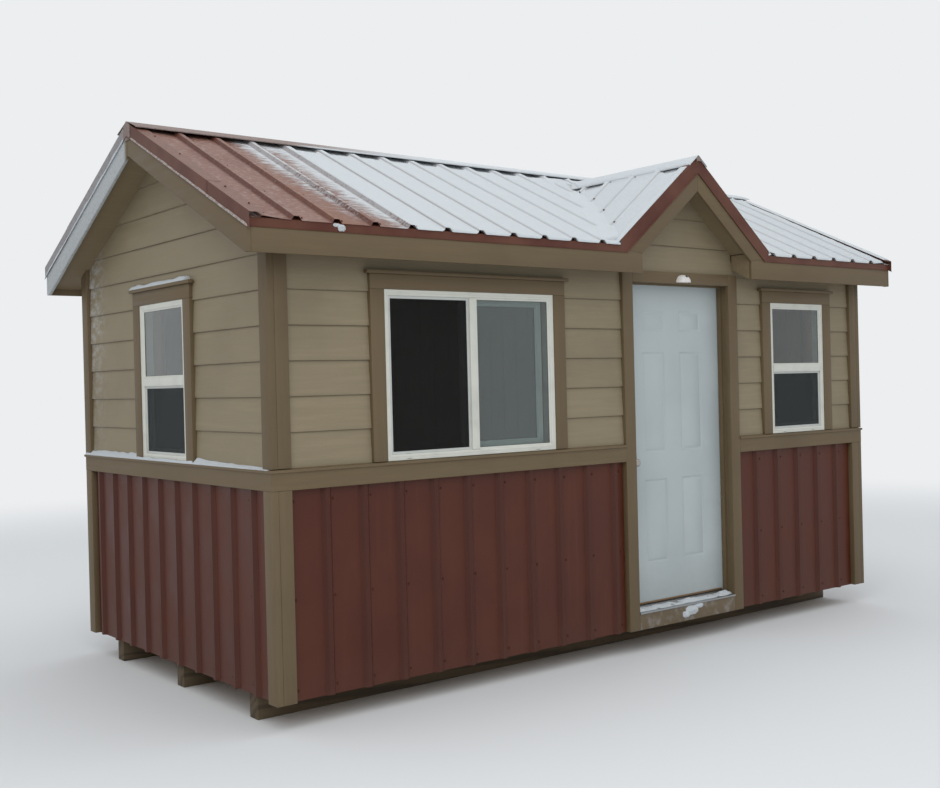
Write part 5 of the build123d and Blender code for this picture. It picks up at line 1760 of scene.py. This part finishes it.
# Clumps on the door sill, stuck to the apron board and hanging from the drip edge. Each is its middle,
# half width, half height, depth and the way it stands out. A broken strip lies along the sill
snowClumps = (
    (0.110, -1.206, 0.2553, 0.045, 0.024, 0.013, "up"), (0.930, -1.197, 0.2571, 0.055, 0.028, 0.014, "up"),
    (0.585, -1.204, 0.2557, 0.095, 0.027, 0.015, "up"),
    (0.555, frontFace - 0.0004, 0.203, 0.060, 0.030, 0.018, "out"),
    (0.500, frontFace - 0.0004, 0.182, 0.034, 0.020, 0.012, "out"),
    (0.625, frontFace - 0.0004, 0.222, 0.040, 0.016, 0.011, "out"),
    (-2.132, eaveY - 0.0014, 2.482, 0.024, 0.017, 0.014, "out"),
    (-2.160, eaveY - 0.0014, 2.494, 0.020, 0.009, 0.008, "out"),
)
sillSnow = {
    "across": ((-0.030, 0), (-0.026, 0.004), (-0.017, 0.006), (-0.006, 0.007), (0.006, 0.007), (0.018, 0.006),
               (0.027, 0.004), (0.030, 0)),
    "place": (-1.205, 0.2555),
    "fall": 0.19,
    "most": 1.3,
}


def makeClumps():
    shape = bmesh.new()
    columns, fall = [], sillSnow["fall"]
    sillY, sillZ = sillSnow["place"]
    for offset, depth in sillSnow["across"]:
        column = []
        for x in rowsBetween(slabLow.x + 0.004, slabHigh.x - 0.004, 90):
            patch = 0.42 + 1.5 * noise.noise(Vector((x * 16, offset * 30, 2)))
            spot = Vector((x, sillY + offset, sillZ + fall * offset))
            column.append((spot, depth * max(0.0, min(sillSnow["most"], patch))))
        columns.append(column)
    addSnow(shape, columns)
    for x, y, z, wide, tall, height, way in snowClumps:
        up = Vector((0, 0, 1)) if way == "up" else Vector((0, -1, 0))
        columns = []
        for across in range(-6, 7):
            column = []
            for along in range(-5, 6):
                one, two = across / 6, along / 5
                spot = Vector((x + wide * one, y, z + tall * two))
                if way == "up":
                    spot = Vector((x + wide * one, y + tall * two, z + fall * tall * two))
                lobe = 1 + 0.45 * noise.noise(Vector((x * 9 + one, two, z * 7)) * 1.7)
                left = lobe - one * one - two * two
                column.append((spot, height * max(0.0, left) ** 0.75 * uneven(spot, 60, 0.6)))
            columns.append(column)
        addSnow(shape, columns, up)
    finishSnow("snowClumps", shape)


makeRoofSnow()
makeDormerSnow()
makeValleySnow()
makeCapSnow()
makeDrifts()
makeClumps()
print("snow made")

# Floor, light and camera
stage = {
    "floorColor": (0.80, 0.81, 0.82, 1),
    "paleColor": (0.84, 0.855, 0.87, 1),
    "plainRadius": 6.0,
    "fadeRadius": 13.0,
    "reach": 90.0,
}


def paleOnCamera(tree, lit, pale):
    path = addNode(tree, "ShaderNodeLightPath", {}).outputs
    seen = most(tree, path["Is Camera Ray"], path["Is Glossy Ray"], path["Is Transmission Ray"])
    return addNode(tree, "ShaderNodeMixShader", {0: seen, 1: lit, 2: pale}).outputs[0]


def makeFloor():
    shape = bmesh.new()
    bmesh.ops.create_circle(shape, cap_ends=True, radius=stage["reach"], segments=64)
    mesh = bpy.data.meshes.new("studioFloor")
    shape.to_mesh(mesh)
    shape.free()
    floor = bpy.data.objects.new("studioFloor", mesh)
    bpy.context.scene.collection.objects.link(floor)
    material, tree, shader = startMaterial("studioFloor", 0.9)
    shader.inputs["Base Color"].default_value = stage["floorColor"]
    length = addNode(tree, "ShaderNodeVectorMath", {0: objectPoint(tree)}, operation="LENGTH")
    share = fade(tree, length.outputs["Value"], stage["plainRadius"], stage["fadeRadius"])
    pale = addNode(tree, "ShaderNodeEmission", {"Color": stage["paleColor"]}).outputs[0]
    lit = shader.outputs[0]
    far = addNode(tree, "ShaderNodeMixShader", {0: share, 1: lit, 2: pale}).outputs[0]
    output = tree.nodes["Material Output"]
    tree.links.new(paleOnCamera(tree, lit, far), output.inputs["Surface"])
    mesh.materials.append(material)


makeFloor()

light = {
    "worldStrength": 0.70,
    "worldColor": (0.93, 0.97, 1.0, 1),
    "key": {"place": (-6.6, -6.9, 7.0), "aim": (0, 0, 1.2), "size": 7.0, "power": 250},
    "top": {"place": (0.5, -1.0, 9.5), "aim": (0, 0, 1.0), "size": 9.0, "power": 230},
}


def makeLight():
    world = bpy.data.worlds.new("paleWorld")
    bpy.context.scene.world = world
    world.use_nodes = True
    tree = world.node_tree
    lit = tree.nodes["Background"]
    lit.inputs["Color"].default_value = light["worldColor"]
    lit.inputs["Strength"].default_value = light["worldStrength"]
    pale = addNode(tree, "ShaderNodeBackground", {"Color": stage["paleColor"], "Strength": 1.0})
    tree.links.new(paleOnCamera(tree, lit.outputs[0], pale.outputs[0]),
                   tree.nodes["World Output"].inputs["Surface"])
    for name in ("key", "top"):
        made = light[name]
        lamp = bpy.data.lights.new(name + "Light", "AREA")
        lamp.energy, lamp.size = made["power"], made["size"]
        holder = bpy.data.objects.new(name + "Light", lamp)
        bpy.context.scene.collection.objects.link(holder)
        holder.location = made["place"]
        holder.rotation_euler = (Vector(made["aim"]) - holder.location).to_track_quat("-Z", "Y").to_euler()


makeLight()

# The photograph's camera, found from the straight edges of the building
photo = {
    "place": (-5.25945, -6.32561, 1.69914),
    "yaw": 37.80,
    "pitch": -0.364,
    "roll": -1.408,
    "focalPixels": 1176.19,
    "widthPixels": 940,
    "shift": (0.01339, -0.00313),
}


def makeCamera():
    yaw, pitch, roll = (math.radians(photo[key]) for key in ("yaw", "pitch", "roll"))
    ahead = Vector((math.sin(yaw) * math.cos(pitch), math.cos(yaw) * math.cos(pitch), math.sin(pitch)))
    right = Vector((math.cos(yaw), -math.sin(yaw), 0))
    up = right.cross(ahead)
    tiltedRight = right * math.cos(roll) + up * math.sin(roll)
    tiltedUp = up * math.cos(roll) - right * math.sin(roll)
    data = bpy.data.cameras.new("photoCamera")
    data.lens = photo["focalPixels"] * data.sensor_width / photo["widthPixels"]
    data.shift_x, data.shift_y = photo["shift"]
    data.clip_start, data.clip_end = 0.05, 300
    camera = bpy.data.objects.new("photoCamera", data)
    bpy.context.scene.collection.objects.link(camera)
    turned = Matrix((tiltedRight, tiltedUp, -ahead)).transposed()
    camera.matrix_world = Matrix.Translation(photo["place"]) @ turned.to_4x4()
    bpy.context.scene.camera = camera


makeCamera()
bpy.context.scene.view_settings.view_transform = "Standard"
print("stage, light and camera made")
